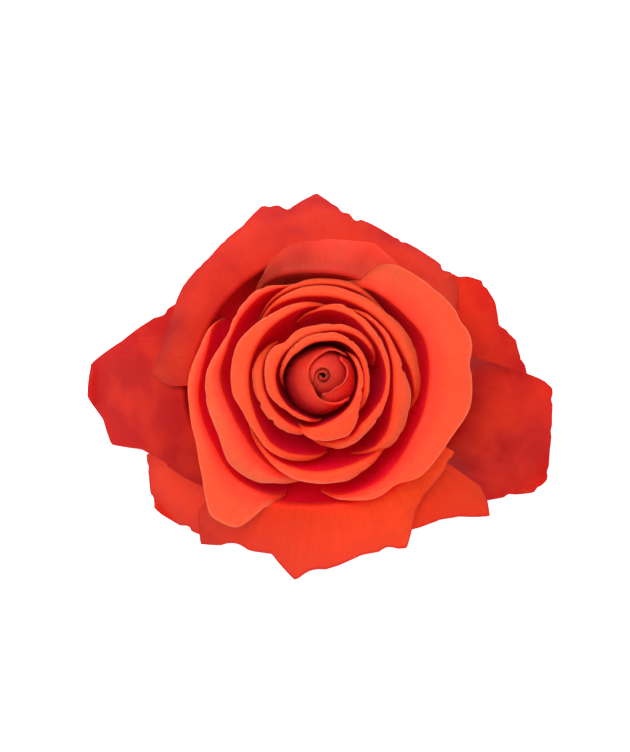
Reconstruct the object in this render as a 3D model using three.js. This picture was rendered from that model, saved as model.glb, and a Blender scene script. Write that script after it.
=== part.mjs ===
// A cut rose head, fully open, face up: petals nested round the flower axis on a swollen hip,
// with five reflexed sepals below them, a tuft of stamens hidden in the middle and a short cut stem.
// Millimetres, +Z up. The flower rests on the cut stem and the tips of its guard petals.

import * as THREE from 'three';

// ---- Driving dimensions -------------------------------------------------------------------

const bloomHeight = 48; // top of the petal dome above the table
const bloomLength = 110; // overall length along X
const guardCrestHeight = 18; // height of the outermost petal's crest
const outlineLength = 110; // length at which the petal outlines below are drawn
const outlineHeight = 48; // height at which the petals' lifts, sinks and falls are given
const petalThickness = 0.5;
const budThickness = 0.25; // thickness of the petals of the closed middle, which have narrow lips
const clawThickness = 0.35; // petal thickness where it is attached
const clawWidth = 0.35; // width of a petal's foot, as a share of its full angle
const lipRoll = 2.2; // largest height of the roll where a petal turns outward
const hipHeight = 17; // top of the hip's cone above the table
const hipTopRadius = 2.2; // radius of the innermost petal foot
const footSpread = 0.18; // outward step of a petal's foot for each mm of its crest radius
const footDrop = 0.22; // drop of a petal's foot for each mm of its crest radius
const budBulge = 2.6; // how far the closed middle bellies out beyond its mouth
const bulgeEnd = 8; // crest radius where that belly has gone
const clearance = 0.3; // gap between pieces that touch
const stemRadius = 2.8;
const stemLength = 4.2;
const hipNeckRadius = 3.4;
const stamenRadius = 1.6; // radius of the tuft's top
const stamenFootRadius = 1;
const stamenHeight = 7;
const sepalCount = 5;
const sepalLength = 23;
const sepalWidth = 8;
const sepalThickness = 0.8;
const sepalTipWidth = 1; // width of the sepal's blunt tip
const sepalCup = 0.6; // how far a sepal's edges turn up
const sepalTipHeight = 1.2; // height of a sepal's tip above the table
const sepalTurn = 20; // angle of the first sepal, degrees

const spread = bloomLength / outlineLength;
const stretch = bloomHeight / outlineHeight;

// ---- Petals ---------------------------------------------------------------------------------
// Each petal is given by two outlines of [angle, radius] about the flower axis, in degrees
// anticlockwise from +X: the crest, where the wall turns over, and the rim, from side to side.
// lift raises the crest above the dome, sink lowers its two side corners, and fall is how far
// the rim hangs below the crest where the lip is widest. A petal that rests has its tip on the table,
// and a thin one belongs to the closed middle.

const petals = [
  {
    name: 'heart_scroll', finish: 'heart', thin: true, lift: -2, sink: 0, fall: 0.3,
    crest: [[215, 1.3], [400, 1.5], [545, 1.5]],
    rim: [[215, 1.9], [545, 2.1]],
  },
  {
    name: 'bud_right_petal', finish: 'heart', thin: true, lift: -1.8, sink: 1.5, fall: 0.3,
    crest: [[-95, 3.3], [-70, 3.6], [-45, 3.5], [-25, 4.3], [-5, 5], [20, 5.4], [48, 5]],
    rim: [[-95, 4], [-45, 4.2], [-25, 5], [-5, 5.7], [20, 6.1], [48, 5.7]],
  },
  {
    name: 'bud_left_petal', finish: 'bud', thin: true, lift: -1.5, sink: 2, fall: 0.4,
    crest: [[40, 6.7], [70, 6], [95, 4.6], [125, 3.6], [155, 3.1], [200, 2.7], [225, 2.9], [265, 5],
      [285, 6], [305, 7], [320, 7.4]],
    rim: [[40, 7.2], [70, 6.8], [95, 5.6], [125, 4.6], [155, 4.1], [200, 3.6], [225, 3.6], [265, 5.8],
      [285, 6.9], [305, 7.7], [320, 8.1]],
  },
  {
    name: 'inner_lower_petal', finish: 'inner', lift: 1.6, sink: 3, fall: 1.5,
    crest: [[-110, 12.6], [-100, 12], [-80, 10.5], [-60, 9.6], [-40, 9], [-20, 8.5], [0, 8.3], [37, 8]],
    rim: [[-110, 14.8], [-70, 15], [-60, 14], [-50, 12.5], [-40, 11], [-20, 9.7], [0, 9.2], [37, 8.6]],
  },
  {
    name: 'inner_top_petal', finish: 'inner', lift: 0.6, sink: 3, fall: 0.5,
    crest: [[-40, 11], [-20, 10.1], [0, 9.7], [40, 9.5], [60, 9.2], [90, 8.3], [130, 8.1],
      [150, 8.7], [182, 9.7]],
    rim: [[-40, 12], [-20, 11.2], [0, 10.7], [50, 10.5], [75, 10.4], [90, 9.9], [150, 9.8], [182, 10.3]],
  },
  {
    name: 'inner_left_petal', finish: 'inner', lift: 0, sink: 3, fall: 1.2,
    crest: [[22, 13], [35, 12.5], [50, 12], [65, 11.3], [80, 10.7], [100, 10.2], [135, 10.2],
      [155, 10.5],
      [185, 11], [220, 10.9], [240, 10.5], [260, 10.6]],
    rim: [[22, 13.6], [50, 13.2], [70, 12.8], [80, 12], [120, 12], [137, 11.8], [150, 13.2], [165, 13.7],
      [195, 13.3], [215, 12.3], [225, 11.5], [260, 11.1]],
  },
  {
    name: 'ring_lower_left_petal', finish: 'inner', lift: -0.5, sink: 3, fall: 1.5,
    crest: [[160, 14.5], [175, 14.3], [215, 13.9], [250, 13.6]],
    rim: [[160, 16.2], [175, 16.5], [200, 16.2], [220, 16], [250, 15.2]],
  },
  {
    name: 'ring_right_petal', finish: 'inner', lift: 0.4, sink: 3, fall: 1.5,
    crest: [[-86, 15.6], [-65, 15.4], [-50, 14.2], [-35, 14.2], [-20, 14.6], [0, 14.6], [20, 14.4],
      [40, 14.4],
      [65, 15.3], [85, 15.6], [98, 15.4]],
    rim: [[-86, 17.3], [-75, 17.6], [-55, 16.6], [-30, 16], [0, 15.5], [20, 15.7], [60, 16.3],
      [75, 17.2],
      [98, 15.9]],
  },
  {
    name: 'ring_upper_left_petal', finish: 'inner', lift: 0.3, sink: 3, fall: 2,
    crest: [[94, 16.6], [120, 16.4], [145, 16.8], [165, 17.2], [200, 17.8], [220, 18.9],
      [235, 19.8], [256, 19.4]],
    rim: [[94, 17.6], [125, 18.5], [145, 20], [162, 21.3], [190, 21.4], [205, 20.4], [220, 20.6],
      [235, 21.4],
      [256, 21.3]],
  },
  {
    name: 'ring_lower_right_petal', finish: 'inner', lift: 0.3, sink: 3, fall: 2,
    crest: [[-53, 21], [-40, 19.8], [-28, 18.2], [-15, 17], [0, 16.4], [15, 16.4], [35, 17], [62, 17.2]],
    rim: [[-53, 22.4], [-47, 23.2], [-30, 22], [-12, 20.7], [0, 19.2], [10, 18.4], [30, 17.9],
      [62, 17.8]],
  },
  {
    name: 'ring_top_petal', finish: 'inner', lift: 0.2, sink: 3, fall: 2,
    crest: [[-13, 22.2], [-5, 21.2], [5, 20.2], [15, 19.3], [25, 18.9], [60, 18.5], [90, 18.7],
      [110, 19.4], [126, 20.3]],
    rim: [[-13, 23.4], [-5, 23.2], [10, 22.2], [25, 21.9], [42, 21], [60, 20.7], [100, 21], [126, 21.2]],
  },
  {
    name: 'ring_bottom_petal', finish: 'inner', lift: 0.2, sink: 3, fall: 2,
    crest: [[228, 22.1], [240, 22.5], [265, 22.3], [290, 22], [304, 22.2]],
    rim: [[228, 23.1], [240, 23.9], [262, 25], [280, 25], [304, 23.6]],
  },
  {
    name: 'ring_top_outer_petal', finish: 'inner', lift: -1, sink: 3, fall: 1,
    crest: [[52, 21.4], [80, 21.8], [105, 22.3], [122, 23.2]],
    rim: [[52, 21.9], [80, 22.7], [105, 23.4], [122, 24.4]],
  },
  {
    name: 'outer_left_petal', finish: 'outer', lift: 1, sink: 3, fall: 3,
    crest: [[112, 21.8], [150, 21.9], [165, 23], [180, 24], [205, 23], [215, 23.1], [225, 23.8],
      [246, 25.3]],
    rim: [[112, 23.4], [130, 25.3], [143, 25], [155, 24.2], [168, 25.5], [180, 27.3], [210, 28.1],
      [225, 29.8],
      [238, 29.9], [246, 29]],
  },
  {
    name: 'outer_right_petal', finish: 'outer', lift: 3, sink: 1.5, fall: 4,
    crest: [[-80, 28.4], [-65, 28], [-50, 26.9], [-30, 25], [-15, 24.8], [0, 24.8], [20, 24.9], [35, 24],
      [50, 23.1], [57, 22.9]],
    rim: [[-80, 29.8], [-65, 31], [-57, 30.5], [-45, 32.5], [-27, 33], [-10, 35], [5, 34.5],
      [13, 35.5], [30, 33],
      [48, 33], [57, 31.5]],
  },
  {
    name: 'outer_top_petal', finish: 'outer', lift: 0, sink: 3.5, fall: -1,
    crest: [[50, 24.4], [70, 24], [90, 24.3], [110, 25.5], [128, 26.6]],
    rim: [[50, 31], [60, 32], [69, 33.3], [80, 32], [100, 31.5], [113, 30.7], [128, 28]],
  },
  {
    name: 'guard_left_inner_petal', finish: 'outer', lift: 2.5, sink: 1, fall: 5,
    crest: [[150, 26.4], [165, 27], [180, 28.6], [190, 29.5], [210, 30], [230, 31.4], [246, 30.8]],
    rim: [[150, 29.2], [180, 31.2], [205, 33], [218, 36], [226, 39.5], [232, 42], [240, 41], [246, 35]],
  },
  {
    name: 'guard_top_petal', finish: 'guard', lift: -1, sink: 0, fall: 15,
    crest: [[26, 28.6], [50, 27.8], [85, 27.8], [105, 28.2], [130, 28.8], [150, 29.2], [165, 30],
      [184, 31.4]],
    rim: [[26, 34.4], [35, 39], [49, 37.5], [63, 36.5], [79, 38], [87, 40.5], [92, 43], [100, 40.5],
      [110, 42.5],
      [118, 40], [134, 38.5], [147, 39], [162, 38], [171, 38.5], [179, 40.5], [184, 36]],
  },
  {
    name: 'guard_bottom_petal', finish: 'guard', lift: -1, sink: 0, fall: 16,
    crest: [[-133, 33.4], [-115, 32.2], [-100, 30.8], [-85, 30.4], [-60, 31], [-30, 31]],
    rim: [[-133, 43], [-126, 49], [-120, 46], [-113, 44.5], [-106, 43.5], [-98, 48.5], [-91, 46],
      [-78, 43],
      [-69, 43.5], [-64, 45], [-56, 38.5], [-50, 36.5], [-30, 35.5]],
  },
  {
    name: 'guard_left_petal', finish: 'guard', lift: -1.5, sink: 2, rests: true,
    crest: [[154, 32.6], [184, 33.4], [222, 34]],
    rim: [[154, 38.5], [162, 42.5], [170, 48], [177, 55], [185, 56], [191, 53], [198, 52.5],
      [202, 46], [206, 43.5],
      [222, 38.5]],
  },
  {
    name: 'guard_upper_right_petal', finish: 'guard', lift: -1.6, sink: 0, rests: true,
    crest: [[4, 33.2], [20, 33.2], [38, 33]],
    rim: [[4, 47.5], [6, 46.5], [12, 46], [16, 43], [23, 44], [31, 43.5], [38, 39]],
  },
  {
    name: 'guard_lower_right_petal', finish: 'guard', lift: -2.4, sink: 0, fall: 11,
    crest: [[-61, 34.3], [-35, 34.3]],
    rim: [[-61, 41.5], [-51, 43.5], [-46, 46], [-40, 51.5], [-37, 48.5], [-35, 45.5]],
  },
  {
    name: 'guard_right_petal', finish: 'guard', lift: -2, sink: 2, rests: true,
    crest: [[-38, 35.6], [3, 35.6]],
    rim: [[-38, 48], [-32, 53], [-29, 57], [-25, 58.5], [-18, 56.5], [-10, 55], [-3, 54.5], [1, 45],
      [3, 43]],
  },
  {
    name: 'guard_lower_left_petal', finish: 'guard', lift: -1.6, sink: 0, rests: true,
    crest: [[-156, 36.6], [-122, 37]],
    rim: [[-156, 45.5], [-150, 47.5], [-142, 51], [-132, 48.5], [-122, 46]],
  },
];

// ---- Finishes -------------------------------------------------------------------------------

const finishes = {
  heart: { color: 0xdc2f28, roughness: 0.55 },
  bud: { color: 0xe63a2a, roughness: 0.55 },
  inner: { color: 0xf5452c, roughness: 0.55 },
  outer: { color: 0xf04830, roughness: 0.55 },
  guard: { color: 0xdd3a28, roughness: 0.6 },
  sepal: { color: 0x5d7a35, roughness: 0.7 },
  hip: { color: 0x6d8a3e, roughness: 0.6 },
  stem: { color: 0x5f7d3a, roughness: 0.65 },
  stamen: { color: 0xd9a53c, roughness: 0.8 },
};

function materialFor(finishName) {
  return new THREE.MeshStandardMaterial({ ...finishes[finishName], metalness: 0 });
}

// ---- Curved sheets ----------------------------------------------------------------------------

function mix(a, b, share) {
  return a + (b - a) * share;
}

// Radius of an outline at an angle, straight between its points and level past its ends.
function radiusAt(outline, angle) {
  if (angle <= outline[0][0]) return outline[0][1] * spread;
  const next = outline.findIndex(([stationAngle]) => stationAngle >= angle);
  if (next < 0) return outline[outline.length - 1][1] * spread;
  const [angleA, radiusA] = outline[next - 1];
  const [angleB, radiusB] = outline[next];
  return mix(radiusA, radiusB, (angle - angleA) / (angleB - angleA)) * spread;
}

// A closed solid with the given thickness about a grid of points; rows run along the sheet.
function sheetGeometry(grid, thicknessOfRow) {
  const columns = grid.length;
  const rows = grid[0].length;
  const positions = [];
  for (const side of [1, -1]) {
    for (let i = 0; i < columns; i += 1) {
      for (let j = 0; j < rows; j += 1) {
        const before = grid[Math.max(i - 1, 0)][j];
        const after = grid[Math.min(i + 1, columns - 1)][j];
        const below = grid[i][Math.max(j - 1, 0)];
        const above = grid[i][Math.min(j + 1, rows - 1)];
        const across = after.clone().sub(before);
        const along = above.clone().sub(below);
        const normal = across.cross(along).normalize();
        const point = grid[i][j].clone().addScaledVector(normal, (side * thicknessOfRow(j)) / 2);
        positions.push(point.x, point.y, point.z);
      }
    }
  }
  const index = [];
  const back = columns * rows;
  const quad = (a, b, c, d) => index.push(a, b, c, a, c, d);
  for (let i = 0; i + 1 < columns; i += 1) {
    for (let j = 0; j + 1 < rows; j += 1) {
      const a = i * rows + j;
      quad(a, a + rows, a + rows + 1, a + 1);
      quad(back + a, back + a + 1, back + a + rows + 1, back + a + rows);
    }
  }
  for (let j = 0; j + 1 < rows; j += 1) {
    const last = (columns - 1) * rows + j;
    quad(j, j + 1, back + j + 1, back + j);
    quad(last, back + last, back + last + 1, last + 1);
  }
  for (let i = 0; i + 1 < columns; i += 1) {
    const foot = i * rows;
    const edge = foot + rows - 1;
    quad(foot, back + foot, back + foot + rows, foot + rows);
    quad(edge, edge + rows, back + edge + rows, back + edge);
  }
  const geometry = new THREE.BufferGeometry();
  geometry.setAttribute('position', new THREE.Float32BufferAttribute(positions, 3));
  geometry.setIndex(index);
  geometry.computeVertexNormals();
  return geometry;
}

// ---- Petal surfaces -----------------------------------------------------------------------------
// Every wall belongs to one family of nested cups, told apart by the crest radius, so that two
// petals never cross while their crests keep their order.

const crestRadii = petals.flatMap((petal) => petal.crest.map(([, radius]) => radius * spread));
const outermostCrest = Math.max(...crestRadii);

function domeHeight(crestRadius) {
  return mix(bloomHeight, guardCrestHeight, (crestRadius / outermostCrest) ** 2);
}

function footRadius(crestRadius) {
  return hipTopRadius + footSpread * crestRadius;
}

function footHeight(crestRadius) {
  return hipHeight - footDrop * crestRadius;
}

function wallRadius(crestRadius, height) {
  const foot = footHeight(crestRadius);
  const rise = THREE.MathUtils.clamp((height - foot) / (domeHeight(crestRadius) - foot), 0, 1);
  const cup = Math.sqrt(1 - (1 - rise) ** 2);
  const bulge = budBulge * Math.max(0, 1 - (crestRadius / (bulgeEnd * spread)) ** 2);
  return mix(footRadius(crestRadius), crestRadius, cup) + bulge * Math.sin(Math.PI * rise);
}

const wallSteps = [0, 0.09, 0.3, 0.62, 1]; // heights of the wall's rows, as shares of its height
const fullWidthStep = 0.5; // share of the wall's height at which a petal is at its full width
const lipSteps = [0.22, 0.5, 1]; // places of the lip's rows, as shares of its width
const lipCurve = 1.2; // how late a lip falls: 1 is a straight slope
const narrowLipPower = 1.5; // how much less a lip falls where it is narrow
const restHeight = 0.5; // height of the middle of a resting petal's rim above the table
const rollShare = 0.45; // share of a lip's width that is taken by its roll
const columnAngle = 14; // widest angle between two columns of a petal

// The angles of a petal's columns: one at each point of its rim, and more where those lie far apart.
function columnAngles(rim) {
  const angles = [rim[0][0]];
  for (let k = 1; k < rim.length; k += 1) {
    const start = rim[k - 1][0];
    const parts = Math.ceil((rim[k][0] - start) / columnAngle);
    for (let part = 1; part <= parts; part += 1) {
      angles.push(mix(start, rim[k][0], part / parts));
    }
  }
  return angles;
}

function petalGrid(petal) {
  const firstAngle = petal.rim[0][0];
  const lastAngle = petal.rim[petal.rim.length - 1][0];
  const middle = (firstAngle + lastAngle) / 2;
  const halfAngle = (lastAngle - firstAngle) / 2;
  const widths = petal.rim.map(([angle, radius]) => radius * spread - radiusAt(petal.crest, angle));
  const widest = Math.max(...widths);
  const widestCrest = radiusAt(petal.crest, petal.rim[widths.indexOf(widest)][0]);
  const restFall = domeHeight(widestCrest) + petal.lift * stretch - restHeight;
  const fall = petal.rests ? restFall : petal.fall * stretch;
  const grid = [];
  for (const rimAngle of columnAngles(petal.rim)) {
    const side = (rimAngle - middle) / halfAngle;
    const rimCrest = radiusAt(petal.crest, rimAngle);
    const rimRadius = radiusAt(petal.rim, rimAngle);
    const lipWidth = rimRadius - rimCrest;
    const top = domeHeight(rimCrest) + (petal.lift - petal.sink * Math.abs(side) ** 3) * stretch;
    const roll = Math.min(lipRoll, rollShare * lipWidth);
    const drop = fall * (lipWidth / widest) ** narrowLipPower;
    const column = [];
    for (const step of wallSteps) {
      const opened = Math.sin((Math.PI / 2) * Math.min(1, step / fullWidthStep));
      const narrow = mix(clawWidth, 1, opened);
      const angle = middle + side * halfAngle * narrow;
      const crest = radiusAt(petal.crest, angle);
      const foot = footHeight(crest);
      const height = mix(foot, top - roll, step);
      column.push(polar(angle, wallRadius(crest, height), height));
    }
    const wallTop = wallRadius(rimCrest, top - roll);
    const rollWidth = roll / lipWidth;
    for (const step of lipSteps) {
      const rolled = Math.min(1, step / rollWidth);
      const past = Math.max(0, (step - rollWidth) / (1 - rollWidth));
      const height = top - roll * (1 - Math.sqrt(1 - (1 - rolled) ** 2)) - drop * past ** lipCurve;
      column.push(polar(rimAngle, mix(wallTop, rimRadius, step), height));
    }
    grid.push(column);
  }
  return grid;
}

function polar(angle, radius, height) {
  const turn = THREE.MathUtils.degToRad(angle);
  return new THREE.Vector3(radius * Math.cos(turn), radius * Math.sin(turn), height);
}

function petalGeometry(petal) {
  const thickness = petal.thin ? budThickness : petalThickness;
  const footThickness = Math.min(clawThickness, thickness);
  return sheetGeometry(petalGrid(petal), (row) => (row === 0 ? footThickness : thickness));
}

// ---- Hip, sepals, stamens and stem ----------------------------------------------------------------

const hipShoulderRadius = footRadius(outermostCrest);
const hipConeDrop = clearance + petalThickness; // the hip's cone under the petals' feet
const hipShoulderHeight = footHeight(outermostCrest) - hipConeDrop;
const hipCollarHeight = 2.4; // straight band under the shoulder that carries the sepals
const hipTopHeight = hipHeight - hipConeDrop;
const hipFloor = stemLength + clearance;

function hipGeometry() {
  const belly = new THREE.CubicBezierCurve(
    new THREE.Vector2(hipNeckRadius, hipFloor),
    new THREE.Vector2(mix(hipNeckRadius, hipShoulderRadius, 0.6), hipFloor),
    new THREE.Vector2(hipShoulderRadius, mix(hipFloor, hipShoulderHeight - hipCollarHeight, 0.4)),
    new THREE.Vector2(hipShoulderRadius, hipShoulderHeight - hipCollarHeight),
  );
  const profile = [
    new THREE.Vector2(0, hipFloor),
    ...belly.getPoints(6),
    new THREE.Vector2(hipShoulderRadius, hipShoulderHeight),
    new THREE.Vector2(hipTopRadius, hipTopHeight),
    new THREE.Vector2(0, hipTopHeight),
  ];
  return turned(profile, 20);
}

// A solid of revolution about +Z from a profile of (radius, height).
function turned(profile, segments) {
  return new THREE.LatheGeometry(profile, segments).rotateX(Math.PI / 2);
}

function stemGeometry() {
  const profile = [
    new THREE.Vector2(0, 0),
    new THREE.Vector2(stemRadius, 0),
    new THREE.Vector2(stemRadius, stemLength),
    new THREE.Vector2(0, stemLength),
  ];
  return turned(profile, 16);
}

function stamenGeometry() {
  const floor = hipTopHeight + clearance;
  const dome = new THREE.CubicBezierCurve(
    new THREE.Vector2(stamenFootRadius, floor),
    new THREE.Vector2(2 * stamenRadius - stamenFootRadius, floor + stamenHeight / 2),
    new THREE.Vector2(stamenRadius, floor + stamenHeight),
    new THREE.Vector2(0, floor + stamenHeight),
  );
  return turned([new THREE.Vector2(0, floor), ...dome.getPoints(7)], 14);
}

// One sepal, along +X: it leaves the hip's side just under the petals and bends down to its tip.
function sepalGeometry() {
  const footHeightAbove = hipShoulderHeight - hipCollarHeight / 2;
  const spine = new THREE.CubicBezierCurve3(
    new THREE.Vector3(hipShoulderRadius + clearance, 0, footHeightAbove),
    new THREE.Vector3(hipShoulderRadius + sepalLength * 0.35, 0, footHeightAbove),
    new THREE.Vector3(hipShoulderRadius + sepalLength * 0.7, 0, mix(footHeightAbove, sepalTipHeight, 0.6)),
    new THREE.Vector3(hipShoulderRadius + sepalLength, 0, sepalTipHeight),
  );
  const lengthSteps = 8;
  const widthSteps = 4;
  const footPhase = 0.25; // where on a half wave of width the sepal starts
  const tipPhase = 0.97;
  const grid = [];
  for (let i = 0; i <= widthSteps; i += 1) {
    const side = (2 * i) / widthSteps - 1;
    const column = [];
    for (let j = 0; j <= lengthSteps; j += 1) {
      const share = j / lengthSteps;
      const point = spine.getPoint(share);
      const swell = Math.sin(Math.PI * mix(footPhase, tipPhase, share));
      const halfWidth = Math.max(sepalTipWidth, sepalWidth * swell) / 2;
      column.push(new THREE.Vector3(point.x, side * halfWidth, point.z + sepalCup * Math.abs(side)));
    }
    grid.push(column);
  }
  return sheetGeometry(grid, () => sepalThickness);
}

// ---- Assembly ---------------------------------------------------------------------------------

const flower = new THREE.Group();

function addPiece(name, geometry, finishName) {
  const mesh = new THREE.Mesh(geometry, materialFor(finishName));
  mesh.name = name;
  flower.add(mesh);
  return mesh;
}

for (const petal of petals) {
  addPiece(petal.name, petalGeometry(petal), petal.finish);
}
addPiece('hip', hipGeometry(), 'hip');
addPiece('cut_stem', stemGeometry(), 'stem');
addPiece('stamens', stamenGeometry(), 'stamen');
for (let k = 0; k < sepalCount; k += 1) {
  const sepal = addPiece(`sepal_${k + 1}`, sepalGeometry(), 'sepal');
  sepal.rotation.z = THREE.MathUtils.degToRad(sepalTurn + (360 / sepalCount) * k);
}

// The origin is at the bottom centre of the flower's box.
flower.updateMatrixWorld(true);
const box = new THREE.Box3().setFromObject(flower, true);
const centre = box.getCenter(new THREE.Vector3());
flower.position.set(-centre.x, -centre.y, -box.min.z);

const group = new THREE.Group();
group.add(flower);

export default group;
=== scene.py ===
"""A cut rose head, fully open and face up: petals, hip, sepals, stamens and a short cut stem.

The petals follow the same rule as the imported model: every wall is one of a family of nested cups
about the flower's axis, and each petal is bounded by its crest, where it turns outward, and its rim.
Sizes are in millimetres in the classes below and become metres when a mesh is made.
"""

import logging
import math
from dataclasses import dataclass, field
from enum import Enum
from typing import NamedTuple

import bpy
import numpy as np
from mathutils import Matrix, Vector


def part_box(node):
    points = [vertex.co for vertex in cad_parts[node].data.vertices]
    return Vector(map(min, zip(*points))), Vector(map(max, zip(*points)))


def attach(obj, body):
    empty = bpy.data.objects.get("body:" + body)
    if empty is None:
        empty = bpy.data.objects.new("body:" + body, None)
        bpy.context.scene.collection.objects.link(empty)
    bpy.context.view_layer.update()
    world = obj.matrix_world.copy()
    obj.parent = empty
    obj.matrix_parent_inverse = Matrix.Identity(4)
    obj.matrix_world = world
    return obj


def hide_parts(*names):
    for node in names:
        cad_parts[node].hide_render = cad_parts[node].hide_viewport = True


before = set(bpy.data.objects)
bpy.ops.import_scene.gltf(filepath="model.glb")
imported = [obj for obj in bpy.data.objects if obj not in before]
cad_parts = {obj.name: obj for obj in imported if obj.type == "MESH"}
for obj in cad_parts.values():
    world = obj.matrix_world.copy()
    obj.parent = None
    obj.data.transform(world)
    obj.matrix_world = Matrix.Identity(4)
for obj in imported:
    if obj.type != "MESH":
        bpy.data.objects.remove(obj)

log = logging.getLogger("rose")

MM = 0.001
SHARP_ANGLE = math.radians(55)
NOISE_MIDDLE = (0.3, 0.7)
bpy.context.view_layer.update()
Outline = tuple[tuple[float, float], ...]
Pair = tuple[float, float]
Triple = tuple[float, float, float]
Colour = Triple


class Whorl(Enum):
    """Where a petal sits in the flower, from the middle out."""

    HEART = "heart_petal"
    BUD = "bud_petal"
    INNER = "inner_petal"
    OUTER = "outer_petal"
    GUARD = "guard_petal"


# ---- Curves and noise ----


def smooth_step(low: float, high: float, x: np.ndarray) -> np.ndarray:
    """Return 0 below low, 1 above high, and an S-curve between them."""
    t = np.clip((x - low) / (high - low), 0, 1)
    return t * t * (3 - 2 * t)


def smooth_through(points: Outline, at: np.ndarray) -> np.ndarray:
    """Follow an outline with a smooth curve that never overshoots its points.

    Args:
        points: (angle, radius) pairs with rising angles.
        at: The angles to read, held at the end values outside the outline.

    Returns:
        The radii at those angles.
    """
    x, y = np.array(points, float).T
    at = np.clip(at, x[0], x[-1])
    if len(x) == 2:
        return np.interp(at, x, y)
    step, slope = np.diff(x), np.diff(y) / np.diff(x)
    same = slope[:-1] * slope[1:] > 0
    before, after = 2 * step[1:] + step[:-1], step[1:] + 2 * step[:-1]
    shared = before / np.where(same, slope[:-1], 1) + after / np.where(same, slope[1:], 1)
    lean = np.concatenate([slope[:1], np.where(same, (before + after) / shared, 0), slope[-1:]])
    k = np.clip(np.searchsorted(x, at, side="right") - 1, 0, len(x) - 2)
    t = (at - x[k]) / step[k]
    held = y[k] * (1 + 2 * t) * (1 - t) ** 2 + y[k + 1] * t * t * (3 - 2 * t)
    return held + step[k] * (lean[k] * t * (1 - t) ** 2 - lean[k + 1] * t * t * (1 - t))


def softened(values: np.ndarray, width: float) -> np.ndarray:
    """Average each value of a row with its neighbours.

    Args:
        values: The row.
        width: About how many neighbours on each side count.

    Returns:
        The softened row, as long as the given one.
    """
    reach = max(1, int(3 * width))
    weights = np.exp(-0.5 * (np.arange(-reach, reach + 1) / width) ** 2)
    return np.convolve(np.pad(values, reach, mode="edge"), weights / weights.sum(), "valid")


def bezier(a: Pair, b: Pair, c: Pair, d: Pair, count: int) -> np.ndarray:
    """Follow a cubic curve.

    Args:
        a: Where it starts.
        b: What it leaves toward.
        c: What it arrives from.
        d: Where it ends.
        count: How many points to return.

    Returns:
        The points, count by 2.
    """
    t = np.linspace(0, 1, count)[:, None]
    p, q, r, s = np.array([a, b, c, d], float)
    return p * (1 - t) ** 3 + 3 * q * t * (1 - t) ** 2 + 3 * r * t * t * (1 - t) + s * t**3


@dataclass(frozen=True)
class Unevenness:
    """Waves of random direction and length that make a surface or a rim naturally uneven.

    pace is how fast they run along each of two coordinates, in radians of the finest wave, count is
    how many are summed, and reach is how far they mostly go to either side, in mm.
    """

    pace: Pair
    count: int
    reach: float

    def at(self, x: np.ndarray, y: np.ndarray, seed: int) -> np.ndarray:
        """Sum the waves.

        Args:
            x: First coordinate of each point.
            y: Second coordinate of each point.
            seed: Picks the waves.

        Returns:
            The unevenness at each point, in mm.
        """
        x, y = x * self.pace[0], y * self.pace[1]
        draw = np.random.default_rng(seed)
        total = np.zeros(np.broadcast(x, y).shape)
        for _ in range(self.count):
            turn, length, phase = draw.uniform(0, math.pi), draw.uniform(0.3, 1), draw.uniform(0, math.tau)
            total += np.sin(length * (x * math.cos(turn) + y * math.sin(turn)) + phase)
        return self.reach * total / math.sqrt(self.count)


@dataclass(frozen=True)
class Nicks(Unevenness):
    """Waves of which only what stands above a level counts, which leaves separate nicks."""

    above: float

    def at(self, x: np.ndarray, y: np.ndarray, seed: int) -> np.ndarray:
        """Return the depth of the nicks at each point, in mm."""
        return np.maximum(0, super().at(x, y, seed) - self.above)


# ---- Meshes ----


def new_object(name: str, mesh: bpy.types.Mesh) -> bpy.types.Object:
    """Put a mesh in the scene.

    Args:
        name: The object's name.
        mesh: The mesh, which holds its own place.

    Returns:
        The object, at the origin.
    """
    piece = bpy.data.objects.new(name, mesh)
    bpy.context.scene.collection.objects.link(piece)
    return piece


def hand_over(piece: bpy.types.Object, node: str) -> None:
    """Say what a finished piece stands for.

    Args:
        piece: The piece, with its final mesh.
        node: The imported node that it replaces.
    """
    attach(piece, "root")
    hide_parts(node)
    log.info("%s stands for %s, %d faces", piece.name, node, len(piece.data.polygons))


def smooth_mesh(name: str, points: np.ndarray, faces: list[list[int]]) -> bpy.types.Mesh:
    """Make a smooth-shaded mesh.

    Args:
        name: The mesh's name.
        points: Its points, in metres.
        faces: The numbers of each face's points.

    Returns:
        The mesh.
    """
    mesh = bpy.data.meshes.new(name)
    mesh.from_pydata(points.tolist(), [], faces)
    mesh.polygons.foreach_set("use_smooth", np.ones(len(faces), bool))
    return mesh


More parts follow.
